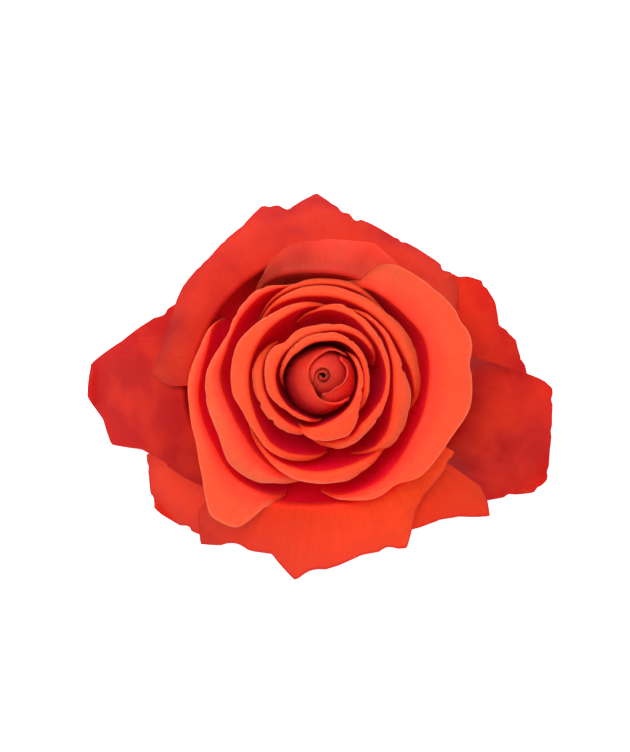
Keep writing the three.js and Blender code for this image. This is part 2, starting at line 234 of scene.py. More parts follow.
def sheet_mesh(
    name: str, grid: np.ndarray, thickness: np.ndarray, layout: np.ndarray | None = None
) -> bpy.types.Mesh:
    """Make a closed sheet of a given thickness about a grid of points.

    Args:
        name: The mesh's name.
        grid: Middle surface, columns by rows by 3, in metres; rows run from foot to rim.
        thickness: Thickness at each point of the grid, in metres.
        layout: Two numbers for each point of the grid, which become the UV map "sheet".

    Returns:
        The mesh, with a point attribute "back" that is 1 on the outer face and 0 on the inner one.
    """
    columns, rows = grid.shape[:2]
    normal = np.cross(np.gradient(grid, axis=0), np.gradient(grid, axis=1))
    normal /= np.maximum(np.linalg.norm(normal, axis=2, keepdims=True), 1e-12)
    offset = normal * thickness[..., None] / 2
    points = np.concatenate([(grid + offset).reshape(-1, 3), (grid - offset).reshape(-1, 3)])
    index = np.arange(columns * rows).reshape(columns, rows)
    far = columns * rows
    corners = [index[:-1, :-1], index[1:, :-1], index[1:, 1:], index[:-1, 1:]]
    outer = np.stack(corners, -1).reshape(-1, 4)
    border = np.concatenate([index[0], index[1:, -1], index[-1, -2::-1], index[-2:0:-1, 0]])
    after = np.roll(border, -1)
    edge = np.stack([border, after, after + far, border + far], -1)
    faces = np.concatenate([outer, outer[:, ::-1] + far, edge])
    mesh = smooth_mesh(name, points, faces.tolist())
    if layout is not None:
        both = np.concatenate([layout.reshape(-1, 2)] * 2)
        uv = mesh.uv_layers.new(name="sheet")
        uv.data.foreach_set("uv", both[faces.reshape(-1)].astype(np.float32).reshape(-1))
    back = mesh.attributes.new("back", "FLOAT", "POINT")
    back.data.foreach_set("value", np.repeat([1, 0], far).astype(np.float32))
    mesh.set_sharp_from_angle(angle=SHARP_ANGLE)
    return mesh


def turned_mesh(name: str, radius: np.ndarray, height: np.ndarray, centre: Vector) -> bpy.types.Mesh:
    """Make a closed body of revolution whose rings may be uneven.

    Args:
        name: The mesh's name.
        radius: Radius in metres, rings by segments; the rings run from bottom to top.
        height: Height in metres of each ring.
        centre: Where the axis meets height 0, in metres.

    Returns:
        The mesh, closed by a point on the axis at each end.
    """
    rings, segments = radius.shape
    turn = np.linspace(0, math.tau, segments, endpoint=False)
    level = np.broadcast_to(height[:, None], radius.shape)
    rim = np.stack([radius * np.cos(turn), radius * np.sin(turn), level], -1).reshape(-1, 3)
    points = np.concatenate([rim, [[0, 0, height[0]], [0, 0, height[-1]]]]) + np.array(centre)
    index = np.arange(rings * segments).reshape(rings, segments)
    beside = np.roll(index, -1, axis=1)
    faces = np.stack([index[:-1], beside[:-1], beside[1:], index[1:]], -1).reshape(-1, 4).tolist()
    faces += [[b, a, rings * segments] for a, b in zip(index[0], beside[0])]
    faces += [[a, b, rings * segments + 1] for a, b in zip(index[-1], beside[-1])]
    return smooth_mesh(name, points, faces)


# ---- Node trees ----


class Graph:
    """A short hand for adding and linking nodes in a tree."""

    def __init__(self, tree: bpy.types.NodeTree) -> None:
        """Start on a tree, emptied."""
        self.tree = tree
        tree.nodes.clear()

    def add(self, kind: str, inputs: dict | None = None, **settings: object) -> bpy.types.Node:
        """Add a node.

        Args:
            kind: The node's type.
            inputs: Socket name or number to a plain value, or to the output that feeds it.
            **settings: Properties of the node.

        Returns:
            The node.
        """
        node = self.tree.nodes.new(kind)
        for key, value in settings.items():
            setattr(node, key, value)
        for key, value in (inputs or {}).items():
            self.feed(node.inputs[key], value)
        return node

    def feed(self, socket: bpy.types.NodeSocket, value: object) -> None:
        """Give a socket its value.

        Args:
            socket: The socket.
            value: A plain value, or the output to link to it.
        """
        if isinstance(value, bpy.types.NodeSocket):
            self.tree.links.new(value, socket)
        else:
            socket.default_value = value

    def calc(self, how: str, *values: object) -> bpy.types.NodeSocket:
        """Work out a number from others.

        Args:
            how: The Math node's operation.
            *values: What it works on.

        Returns:
            The output that holds the number.
        """
        node = self.add("ShaderNodeMath", operation=how)
        for socket, value in zip(node.inputs, values):
            self.feed(socket, value)
        return node.outputs[0]

    def vector(self, x: object, y: object, z: object) -> bpy.types.NodeSocket:
        """Make a vector of three numbers and return its output."""
        return self.add("ShaderNodeCombineXYZ", {0: x, 1: y, 2: z}).outputs[0]


class Surface(Graph):
    """A material's node tree, with a Principled shader on its output."""

    def __init__(self, name: str) -> None:
        """Start a material.

        Args:
            name: The material's name.
        """
        self.material = bpy.data.materials.new(name)
        self.material.use_nodes = True
        super().__init__(self.material.node_tree)
        self.shader = self.add("ShaderNodeBsdfPrincipled")
        self.add("ShaderNodeOutputMaterial", {"Surface": self.shader.outputs["BSDF"]})

    def set(self, **values: object) -> None:
        """Set the shader's own sockets, named with _ for a space."""
        for key, value in values.items():
            self.feed(self.shader.inputs[key.replace("_", " ")], value)

    def place(self) -> bpy.types.NodeSocket:
        """Return the Object coordinates."""
        return self.add("ShaderNodeTexCoord").outputs["Object"]

    def noise(self, vector: object, scale: float, detail: float = 2) -> bpy.types.NodeSocket:
        """Add a noise texture and return its value."""
        inputs = {"Vector": vector, "Scale": scale, "Detail": detail}
        return self.add("ShaderNodeTexNoise", inputs).outputs["Fac"]

    def ramp(self, value: object, stops: list[tuple[float, Colour]]) -> bpy.types.NodeSocket:
        """Turn a number into a colour.

        Args:
            value: The output to read.
            stops: (place, colour) pairs with rising places.

        Returns:
            The colour output.
        """
        node = self.add("ShaderNodeValToRGB", {"Fac": value})
        elements = node.color_ramp.elements
        while len(elements) < len(stops):
            elements.new(0.5)
        for element, (place, colour) in zip(elements, stops):
            element.position, element.color = place, (*colour, 1)
        return node.outputs["Color"]

    def blend(self, share: object, a: object, b: object, how: str = "MIX") -> bpy.types.NodeSocket:
        """Mix two colours.

        Args:
            share: How much of the second is taken.
            a: The first colour.
            b: The second colour.
            how: The Mix node's blend type.

        Returns:
            The colour output.
        """
        node = self.add("ShaderNodeMix", data_type="RGBA", blend_type=how)
        for number, value in ((0, share), (6, a), (7, b)):
            self.feed(node.inputs[number], value)
        return node.outputs[2]

    def stretch(self, value: object, given: Pair, wanted: Pair = (0, 1)) -> bpy.types.NodeSocket:
        """Stretch a number.

        Args:
            value: The output to read.
            given: The range that is read.
            wanted: The range that it is stretched to.

        Returns:
            The output that holds the new number.
        """
        ends = {"From Min": given[0], "From Max": given[1], "To Min": wanted[0], "To Max": wanted[1]}
        return self.add("ShaderNodeMapRange", {"Value": value, **ends}).outputs["Result"]

    def spread(self, value: object, low: float, high: float) -> bpy.types.NodeSocket:
        """Stretch the middle of a noise to the range from low to high and return its output."""
        return self.stretch(value, NOISE_MIDDLE, (low, high))

    def grey(self, value: object) -> bpy.types.NodeSocket:
        """Make a grey of a number and return the colour output."""
        return self.add("ShaderNodeCombineColor", {0: value, 1: value, 2: value}).outputs[0]

    def emboss(self, height: object, strength: float, depth: float) -> None:
        """Raise the surface in the shading.

        Args:
            height: The output that holds the relief.
            strength: How strongly it shows.
            depth: Its full depth, in mm.
        """
        bump = self.add("ShaderNodeBump", {"Height": height, "Strength": strength, "Distance": depth * MM})
        self.set(Normal=bump.outputs[0])


# ---- Finishes ----


@dataclass(frozen=True)
class PetalFinish:
    """The living surface of a petal: velvet cells, fanning veins and a painted shade that deepens inward.

    The colours lie along the petal, where the foot is at 0, the crest at 0.5 and the rim at 1. The
    throat's colour is painted shade for the gaps between petals and ends at throat_shade_until, the
    wall's colour stands at the crest and carries that painted shade toward the lip, and the lip's
    colour begins at lip_from. The rim's colour is a painted highlight in the band edge_range, but
    guard petals take a darker rim there. painted_shade is the colour of a painted crimson shade that
    a petal's own painted_shade_amount mixes in, mottled at random.
    """

    name: str
    lip: Colour
    # Painted shade: the wall and throat colours deepen toward the foot for the shade in the gaps between
    # petals.
    wall: Colour = (0.90, 0.035, 0.016)
    throat_shade: Colour = (0.92, 0.002, 0.034)
    foot: Colour = (0.70, 0.30, 0.05)
    # Painted highlight: a lighter, pinker band along the rim; guard petals take a darker rim colour instead.
    edge: Colour = (0.98, 0.13, 0.06)
    # Painted shade: the dark crimson mixed into petals that lie in shade.
    painted_shade: Colour = (0.31, 0.007, 0.006)
    back: Colour = (0.92, 0.055, 0.022)
    velvet: Colour = (1, 0.3, 0.25)
    velvet_share: float = 0.01
    velvet_roughness: float = 0.4
    foot_until: float = 0.08
    # Painted shade: where the throat's painted shade ends along the petal.
    throat_shade_until: float = 0.38
    lip_from: float = 0.6
    # The band at the rim that takes the painted rim highlight.
    edge_range: Pair = (0.97, 0.995)
    back_range: Pair = (0.4, 0.5)
    back_share: float = 0.6
    # Painted shade: how widely the cloud noise mottles the painted crimson shade.
    painted_shade_range: Pair = (0.72, 1.16)
    roughness: float = 0.55
    roughness_spread: float = 0.06
    blotch: float = 0.08
    blotch_scale: float = 90
    vein: float = 0.05
    vein_scale: Triple = (0.9, 2.2, 1)
    thread: float = 0.5
    thread_scale: Triple = (3.2, 3.5, 1)
    cell: float = 0.2
    cell_scale: float = 2600
    relief: float = 0.4
    relief_depth: float = 0.3
    glow: float = 0.85
    glow_depth: float = 1.6
    glow_reach: Triple = (1, 0.12, 0.06)
    shine: float = 0.14

    def material(self) -> bpy.types.Material:
        """Build the petal's nodes.

        Returns:
            The material.
        """
        s = Surface(self.name)
        sheet = s.add("ShaderNodeUVMap", uv_map="sheet").outputs["UV"]
        place = s.place()
        along = s.add("ShaderNodeSeparateXYZ", {0: sheet}).outputs[1]
        back = s.add("ShaderNodeAttribute", attribute_name="back").outputs["Fac"]
        painted_shade = s.add("ShaderNodeAttribute", attribute_name="painted_shade_amount").outputs["Fac"]
        cloud = s.noise(place, self.blotch_scale, 4)
        fan = s.add("ShaderNodeMapping", {"Vector": sheet, "Scale": self.vein_scale}).outputs[0]
        vein = s.noise(fan, 1, 4)
        fine = s.add("ShaderNodeMapping", {"Vector": sheet, "Scale": self.thread_scale}).outputs[0]
        thread = s.noise(fine, 1)
        cells = s.noise(place, self.cell_scale, 1)

        # Painted shade from the throat up the wall, and a painted highlight in the band at the rim.
        inner = [(0, self.foot), (self.foot_until, self.throat_shade), (self.throat_shade_until, self.throat_shade)]
        outer = [(0.5, self.wall), (self.lip_from, self.lip)]
        rim = [(self.edge_range[0], self.lip), (self.edge_range[1], self.edge)]
        base = s.ramp(along, inner + outer + rim)
        shade = s.spread(cloud, 1 - self.blotch, 1 + self.blotch)
        streak = s.spread(vein, 1 - self.vein, 1 + self.vein)
        mottled = s.blend(1.0, base, s.grey(s.calc("MULTIPLY", shade, streak)), "MULTIPLY")
        shown = s.stretch(along, self.back_range)
        share = s.calc("MULTIPLY", s.calc("MULTIPLY", back, self.back_share), shown)
        two_faced = s.blend(share, mottled, (*self.back, 1))
        # Painted shade: each petal's shade amount, mottled at random by the cloud noise, mixes in the dark
        # crimson.
        painted_shade_share = s.calc("MULTIPLY", painted_shade, s.spread(cloud, *self.painted_shade_range))
        s.set(Base_Color=s.blend(painted_shade_share, two_faced, (*self.painted_shade, 1)))

        relief = s.calc("ADD", s.calc("MULTIPLY", thread, self.thread), vein)
        s.emboss(s.calc("ADD", relief, s.calc("MULTIPLY", cells, self.cell)), self.relief, self.relief_depth)
        rough, spread = self.roughness, self.roughness_spread
        s.set(Roughness=s.spread(cells, rough - spread, rough + spread))
        s.set(Specular_IOR_Level=self.shine, Subsurface_Weight=self.glow)
        s.set(Subsurface_Scale=self.glow_depth * MM, Subsurface_Radius=self.glow_reach)
        s.set(Sheen_Weight=self.velvet_share, Sheen_Roughness=self.velvet_roughness)
        s.set(Sheen_Tint=(*self.velvet, 1))
        return s.material


@dataclass(frozen=True)
class GreenFinish:
    """The skin of a green part: mottled, flushed with red specks and slightly waxy."""

    name: str
    light: Colour
    dark: Colour
    flush: Colour = (0.32, 0.10, 0.05)
    roughness: float = 0.5
    roughness_spread: Pair = (-0.08, 0.1)
    grain: float = 300
    speck_level: float = 0.62
    speck_share: float = 0.5
    relief: float = 0.4
    relief_depth: float = 0.3
    wax: float = 0.08
    shine: float = 0.35

    def material(self) -> bpy.types.Material:
        """Build the green part's nodes.

        Returns:
            The material.
        """
        s = Surface(self.name)
        place = s.place()
        mottle = s.noise(place, self.grain, 5)
        colour = s.ramp(mottle, [(NOISE_MIDDLE[0], self.dark), (NOISE_MIDDLE[1], self.light)])
        speck = s.noise(place, 4 * self.grain)
        share = s.calc("MULTIPLY", s.calc("GREATER_THAN", speck, self.speck_level), self.speck_share)
        s.set(Base_Color=s.blend(share, colour, (*self.flush, 1)))
        s.emboss(mottle, self.relief, self.relief_depth)
        s.set(Coat_Weight=self.wax, Specular_IOR_Level=self.shine)
        smoother, rougher = (self.roughness + change for change in self.roughness_spread)
        s.set(Roughness=s.spread(mottle, smoother, rougher))
        return s.material


@dataclass(frozen=True)
class StamenFinish:
    """Pale filaments below, powdery golden anthers above."""

    name: str = "stamen_pollen"
    filament: Colour = (0.72, 0.52, 0.14)
    anther: Colour = (0.62, 0.30, 0.03)
    change: Pair = (19.5, 21.5)
    grain: float = 6000
    powder: Pair = (0.8, 1.15)
    relief: float = 0.5
    relief_depth: float = 0.1
    roughness: float = 0.8

    def material(self) -> bpy.types.Material:
        """Build the stamens' nodes.

        Returns:
            The material.
        """
        s = Surface(self.name)
        place = s.place()
        height = s.add("ShaderNodeSeparateXYZ", {0: place}).outputs[2]
        rise = s.stretch(height, (self.change[0] * MM, self.change[1] * MM))
        grains = s.noise(place, self.grain)
        colour = s.ramp(rise, [(0, self.filament), (1, self.anther)])
        dusted = s.blend(1.0, colour, s.grey(s.spread(grains, *self.powder)), "MULTIPLY")
        s.emboss(grains, self.relief, self.relief_depth)
        s.set(Base_Color=dusted, Roughness=self.roughness)
        return s.material


# Painted shade: the throat colours below darken the gaps between petals, darkest on the bud; the guards'
# darker rim colour replaces the painted rim highlight.
PETAL_FINISHES = {
    Whorl.HEART: PetalFinish(
        "heart_petal_skin", lip=(0.98, 0.045, 0.03), wall=(0.98, 0.045, 0.03), throat_shade=(0.75, 0.004, 0.02),
        throat_shade_until=0.34,
    ),
    Whorl.BUD: PetalFinish(
        "bud_petal_skin", lip=(0.95, 0.055, 0.022), throat_shade=(0.22, 0.002, 0.008), back=(0.95, 0.05, 0.022),
        throat_shade_until=0.435,
    ),
    Whorl.INNER: PetalFinish(
        "inner_petal_skin", lip=(0.98, 0.064, 0.017), wall=(0.94, 0.05, 0.016),
        throat_shade_until=0.46, lip_from=0.54,
    ),
    Whorl.OUTER: PetalFinish(
        "outer_petal_skin", lip=(0.99, 0.082, 0.028), painted_shade=(0.33, 0.024, 0.011),
        throat_shade_until=0.41, lip_from=0.76,
    ),
    Whorl.GUARD: PetalFinish(
        "guard_petal_skin", lip=(0.92, 0.052, 0.007), edge=(0.60, 0.02, 0.008),
        throat_shade_until=0.45, blotch=0.16, glow=0.4, shine=0.06,
    ),
}


# ---- Petals ----


@dataclass
class Petal:
    """One petal, given by two outlines of (angle, radius) about the flower axis.

    Angles are degrees anticlockwise from +X. The crest is where the wall turns over, and the rim
    runs from side to side. lift raises the crest above the dome, sink lowers its two side corners,
    and fall is how far the rim hangs below the crest where the lip is widest. A petal that rests
    has its tip on the table. belly is how far the wall stands out below its crest. corner is the
    angle over which each side tapers and dives between its neighbours, by the share dive of the
    wall's height. painted_shade_amount mixes in a painted crimson shade, from the first side to the
    last and once more at the rim. slant is how many degrees the first side leans in at the crest.
    """

    name: str
    whorl: Whorl
    lift: float
    sink: float
    crest: Outline
    rim: Outline
    fall: float = 0
    rests: bool = False
    belly: Outline = ((0, 0), (360, 0))
    corner: float = 38
    dive: float = 0.34
    painted_shade_amount: Triple = (0, 0, 0)
    slant: float = 0

    @property
    def torn(self) -> bool:
        """Tell whether the rim is torn, as on the petals that guard the others."""
        return self.whorl is Whorl.GUARD

    @property
    def closed(self) -> bool:
        """Tell whether the petal belongs to the closed middle."""
        return self.whorl in (Whorl.HEART, Whorl.BUD)


@dataclass
class Columns:
    """A petal's outlines read at each column of its grid, in degrees and mm.

    side is -1 at the first side and 1 at the last. reach is the rim without its tears, and lip the
    width from the crest to it. corner is 1 at the sides and 0 past the corners. top is the height
    of the crest, edge the radius where the wall begins to roll over, roll the radius of that roll,
    and drop how far the rim hangs below the crest.
    """

    middle: float
    half: float
    side: np.ndarray
    angle: np.ndarray
    crest: np.ndarray
    rim: np.ndarray
    reach: np.ndarray
    corner: np.ndarray
    lip: np.ndarray
    top: np.ndarray
    edge: np.ndarray
    roll: np.ndarray
    drop: np.ndarray


class Strip(NamedTuple):
    """A stretch of a petal's rows: angle, radius and height of each point, and its place v."""

    angle: np.ndarray
    radius: np.ndarray
    height: np.ndarray
    v: np.ndarray


@dataclass
class Bloom:
    """The flower's petals, which share one family of nested walls.

    A petal's place v runs from 0 at the foot over crest_at at the crest to 1 at the rim. The ranges
    below are stretches of v, but for curl_range, which is a stretch of the lip alone. The ripples and
    dents raise a lying lip fully and move a standing wall by the shares wall_ripple and wall_dent.
    """

    axis: Vector
    height: float = 48
    guard_crest_height: float = 18
    outermost_crest: float = 37
    hip_height: float = 17
    hip_top_radius: float = 2.2
    foot_spread: float = 0.18
    foot_drop: float = 0.22
    bud_bulge: float = 2.6
    bulge_end: float = 8
    claw_width: float = 0.35
    closed_claw_width: float = 0.95
    flare: float = 0.2
    flare_power: float = 0.62
    flare_radii: Pair = (8, 16)
    belly_peak: float = 0.74
    taper: float = 0.92
    full_width_step: float = 0.5
    sink_power: float = 3
    lip_roll: float = 1.1
    roll_share: float = 0.36
    lip_curve: float = 1.2
    narrow_lip_power: float = 1.5
    least_lip: float = 0.15
    least_reach: float = 0.1
    rest_height: float = 0.5
    table_gap: float = 0.25

    claw_thickness: float = 0.35
    petal_thickness: float = 0.4
    bud_thickness: float = 0.25
    rim_thickness: float = 0.07
    crest_thinning: float = 0.75
    lip_thinning: float = 0.45
    thinning_steps: tuple[float, ...] = (0, 0.1, 0.5, 0.85, 1)

    rim_frill: Unevenness = Unevenness((0.45, 0.1), 5, 0.09)
    rim_nicks: Nicks = Nicks((0.8, 0.2), 4, 0.5, above=0.375)
    torn_frill: Unevenness = Unevenness((1.9, 0.4), 5, 0.035)
    torn_nicks: Nicks = Nicks((1.6, 0.3), 4, 0.9, above=0.495)
    ripples: Unevenness = Unevenness((0.9, 5), 6, 0.2)
    dents: Unevenness = Unevenness((0.32, 3), 5, 0.3)
    full_frill_radius: float = 15
    full_nick_lip: float = 2
    full_ripple_lip: float = 2.5
    full_curl_lip: float = 3
    rim_curl: float = 0.3
    curl_range: Pair = (0.6, 1.15)
    ripple_range: Pair = (0.45, 1)
    dent_range: Pair = (0.2, 0.55)
    lying_range: Pair = (0.44, 0.6)
    # Painted shade: the stretch near the rim where petals take more painted crimson shade.
    painted_shade_rim_range: Pair = (0.8, 1)
    wall_ripple: float = 0.3
    wall_dent: float = 0.6
    tear_smoothing: float = 7

    column_angle: float = 1.2
    torn_column_angle: float = 0.7
    fewest_columns: int = 24
    spare_share: float = 0.45
    wall_rows: int = 20
    roll_rows: int = 7
    lip_rows: int = 16
    row_power: float = 0.9
    crest_at: float = 0.5
    lip_at: float = 0.56
    first_seed: int = 40
    seed_step: int = 10
    petals: list[Petal] = field(default_factory=lambda: list(PETALS))

    @property
    def belly_power(self) -> float:
        """Return the power that puts the widest part of a belly at its share of the wall's height."""
        return math.log(0.5) / math.log(self.belly_peak)

    def dome_height(self, crest: np.ndarray) -> np.ndarray:
        """Return the height of a crest of this radius."""
        return self.height + (self.guard_crest_height - self.height) * (crest / self.outermost_crest) ** 2

    def foot_height(self, crest: np.ndarray) -> np.ndarray:
        """Return the height of the foot of the wall with this crest radius."""
        return self.hip_height - self.foot_drop * crest

    def wall_radius(self, crest: np.ndarray, height: np.ndarray) -> np.ndarray:
        """Work out how far a wall stands from the axis.

        Args:
            crest: The wall's crest radius.
            height: The height to read it at.

        Returns:
            The radius there.
        """
        foot = self.foot_height(crest)
        rise = np.clip((height - foot) / (self.dome_height(crest) - foot), 0, 1)
        cup = np.sqrt(1 - (1 - rise) ** 2)
        cup += self.flare * (rise**self.flare_power - cup) * smooth_step(*self.flare_radii, crest)
        bulge = self.bud_bulge * np.maximum(0, 1 - (crest / self.bulge_end) ** 2)
        foot_radius = self.hip_top_radius + self.foot_spread * crest
        return foot_radius + (crest - foot_radius) * cup + bulge * np.sin(math.pi * rise)

    def rims(self, petal: Petal, angle: np.ndarray, seed: int) -> tuple[np.ndarray, np.ndarray]:
        """Trace a petal's rim.

        Args:
            petal: The petal.
            angle: The angle of each column.
            seed: Picks the small nicks of the rim.

        Returns:
            The rim's radius at each angle, and the radius that the lip's shape reaches for there,
            which leaves the tears out.
        """
        if petal.torn:
            rim = np.interp(angle, *zip(*petal.rim))
            frill, nicks = self.torn_frill.at(angle, angle, seed), self.torn_nicks.at(angle, angle, seed + 1)
            return rim + frill - nicks, softened(rim, self.tear_smoothing / self.torn_column_angle)
        rim = smooth_through(petal.rim, angle)
        frill = self.rim_frill.at(angle, angle, seed) * np.minimum(1, rim / self.full_frill_radius)
        room = np.minimum(1, (rim - smooth_through(petal.crest, angle)) / self.full_nick_lip)
        return rim + frill - self.rim_nicks.at(angle, angle, seed + 1) * room, rim

    def columns(self, petal: Petal, seed: int) -> Columns:
        """Read a petal's outlines at each column of its grid.

        Args:
            petal: The petal.
            seed: Picks the small nicks of the rim.

        Returns:
            The outlines, with the sides tapered and sunk, and the size of the roll and the lip.
        """
        spare = 0 if petal.torn else self.spare_share * petal.corner
        first, last = petal.rim[0][0] - spare, petal.rim[-1][0] + spare
        middle, half = (first + last) / 2, (last - first) / 2
        step = self.torn_column_angle if petal.torn else self.column_angle
        side = np.linspace(-1, 1, max(self.fewest_columns, round((last - first) / step)) + 1)
        corner = np.zeros(len(side))
        if not petal.torn:
            side = np.sin(math.pi / 2 * side)
            corner = np.clip(1 - (half - half * np.abs(side)) / petal.corner, 0, 1) ** 2
        angle = middle + half * side
        crest = smooth_through(petal.crest, angle)
        rim, reach = self.rims(petal, angle, seed)
        left = 1 - self.taper * corner
        rim, reach = crest + (rim - crest) * left, crest + (reach - crest) * left
        lip = np.maximum(reach - crest, self.least_lip)
        widest = int(np.argmax(lip))
        rest_fall = self.dome_height(crest[widest]) + petal.lift - self.rest_height
        fall = rest_fall if petal.rests else petal.fall
        drop = fall * (lip / lip[widest]) ** self.narrow_lip_power
        top = self.dome_height(crest) + petal.lift - petal.sink * np.abs(side) ** self.sink_power
        top = top - petal.dive * (top - self.foot_height(crest)) * corner
        roll = np.minimum(self.lip_roll, self.roll_share * lip)
        edge = self.wall_radius(crest, top - roll)
        return Columns(middle, half, side, angle, crest, rim, reach, corner, lip, top, edge, roll, drop)

    def wall(self, petal: Petal, at: Columns) -> Strip:
        """Raise a petal's wall from its narrow foot to where it begins to roll over.

        Args:
            petal: The petal.
            at: Its columns.

        Returns:
            The wall's rows.
        """
        rise = np.linspace(0, 1, self.wall_rows) ** self.row_power
        opened = np.sin(math.pi / 2 * np.minimum(1, rise / self.full_width_step))
        claw = self.closed_claw_width if petal.closed else self.claw_width
        angle = at.middle + at.half * at.side[:, None] * (claw + (1 - claw) * opened)
        crest = smooth_through(petal.crest, angle)
        foot = self.foot_height(crest)
        height = foot + ((at.top - at.roll)[:, None] - foot) * rise
        belly = smooth_through(petal.belly, angle) * np.sin(math.pi * rise**self.belly_power)
        return Strip(angle, self.wall_radius(crest, height) + belly, height, self.crest_at * rise)

    def crest_roll(self, at: Columns) -> Strip:
        """Turn a petal's wall outward over its crest.

        Args:
            at: The petal's columns.

        Returns:
            The rows of the roll.
        """
        turn = np.linspace(0, math.pi / 2, self.roll_rows + 1)[1:]
        radius = at.edge[:, None] + at.roll[:, None] * (1 - np.cos(turn))
        height = (at.top - at.roll)[:, None] + at.roll[:, None] * np.sin(turn)
        angle = np.repeat(at.angle[:, None], self.roll_rows, axis=1)
        return Strip(angle, radius, height, self.crest_at + (self.lip_at - self.crest_at) * turn / turn[-1])

    def lip(self, at: Columns) -> Strip:
        """Let a petal's lip fall from its crest to its rim.

        Args:
            at: The petal's columns.

        Returns:
            The lip's rows.
        """
        out = np.linspace(0, 1, self.lip_rows + 1)[1:]
        start = at.edge + at.roll
        end = start + np.maximum(at.rim - at.crest, self.least_reach) - at.roll
        end = np.where(at.corner > 0, end, np.maximum(at.rim, start + self.least_reach))
        length = np.maximum(end + at.reach - at.rim - start, self.least_reach)
        past = np.maximum(0, ((end - start) / length)[:, None] * out)
        curl = self.rim_curl * np.minimum(1, at.lip / self.full_curl_lip)
        curl = curl[:, None] * smooth_step(*self.curl_range, past)
        radius = start[:, None] + (end - start)[:, None] * out
        height = at.top[:, None] - at.drop[:, None] * past**self.lip_curve - curl
        angle = np.repeat(at.angle[:, None], self.lip_rows, axis=1)
        return Strip(angle, radius, height, self.lip_at + (1 - self.lip_at) * out)

    def grid(self, petal: Petal, seed: int) -> tuple[np.ndarray, np.ndarray]:
        """Lay out a petal's middle surface.

        Args:
            petal: The petal.
            seed: Picks its waves and nicks.

        Returns:
            The points, columns by rows by 3 in mm about the axis, and the sheet layout of each:
            how far across the petal it is in mm, and its place from the foot to the rim.
        """
        at = self.columns(petal, seed)
        strips = [self.wall(petal, at), self.crest_roll(at), self.lip(at)]
        angle, radius, height, v = (np.concatenate(part, axis=-1) for part in zip(*strips))
        v = np.broadcast_to(v, radius.shape)
        across = np.radians(at.angle - at.middle) * float(at.reach.mean())
        u = np.broadcast_to(across[:, None], radius.shape)

        ripple = self.ripples.at(u, v, seed + 2) * smooth_step(*self.ripple_range, v)
        dent = self.dents.at(u, v, seed + 3) * smooth_step(*self.dent_range, v)
        lying = smooth_step(*self.lying_range, v)
        radius = radius + (dent * self.wall_dent + ripple * self.wall_ripple) * (1 - lying)
        height = height + (dent + ripple) * lying * np.minimum(1, at.lip / self.full_ripple_lip)[:, None]
        height = np.maximum(height, self.table_gap)

        lean = petal.slant * ((1 - at.side[:, None]) / 2) ** 2
        turn = np.radians(angle + lean * np.minimum(1, (1 - v) / (1 - self.lip_at)))
        points = np.stack([radius * np.cos(turn), radius * np.sin(turn), height], -1)
        return points, np.stack([u, v], -1)

    def build(self, petal: Petal, seed: int) -> bpy.types.Object:
        """Make one petal.

        Args:
            petal: The petal.
            seed: Picks its waves and nicks.

        Returns:
            The petal's object, not yet dressed.
        """
        grid, layout = self.grid(petal, seed)
        v = layout[..., 1]
        body = self.bud_thickness if petal.closed else self.petal_thickness
        claw, rim = min(self.claw_thickness, body), self.rim_thickness
        widths = [claw, body, self.crest_thinning * body, self.lip_thinning * body, rim]
        thickness = np.interp(v, self.thinning_steps, widths)
        points = (grid + np.array(self.axis) / MM) * MM
        mesh = sheet_mesh(f"{petal.name}_mesh", points, thickness * MM, layout)
        # Painted shade: the amount of painted crimson shade at each point, running from side to side and
        # rising at the rim.
        first, last, at_rim = petal.painted_shade_amount
        painted_shade = np.linspace(first, last, len(grid))[:, None] + at_rim * smooth_step(*self.painted_shade_rim_range, v)
        values = np.tile(painted_shade.reshape(-1), 2).astype(np.float32)
        mesh.attributes.new("painted_shade_amount", "FLOAT", "POINT").data.foreach_set("value", values)
        return new_object(f"rose_{petal.name}", mesh)

    def dress(self, piece: bpy.types.Object, material: bpy.types.Material) -> None:
        """Give a petal its skin."""
        piece.data.materials.append(material)

    def make_all(self) -> None:
        """Build, dress and hand over every petal."""
        skins = {whorl: finish.material() for whorl, finish in PETAL_FINISHES.items()}
        for number, petal in enumerate(self.petals):
            piece = self.build(petal, self.first_seed + self.seed_step * number)
            self.dress(piece, skins[petal.whorl])
            hand_over(piece, petal.name)


# ---- Hip and stem ----


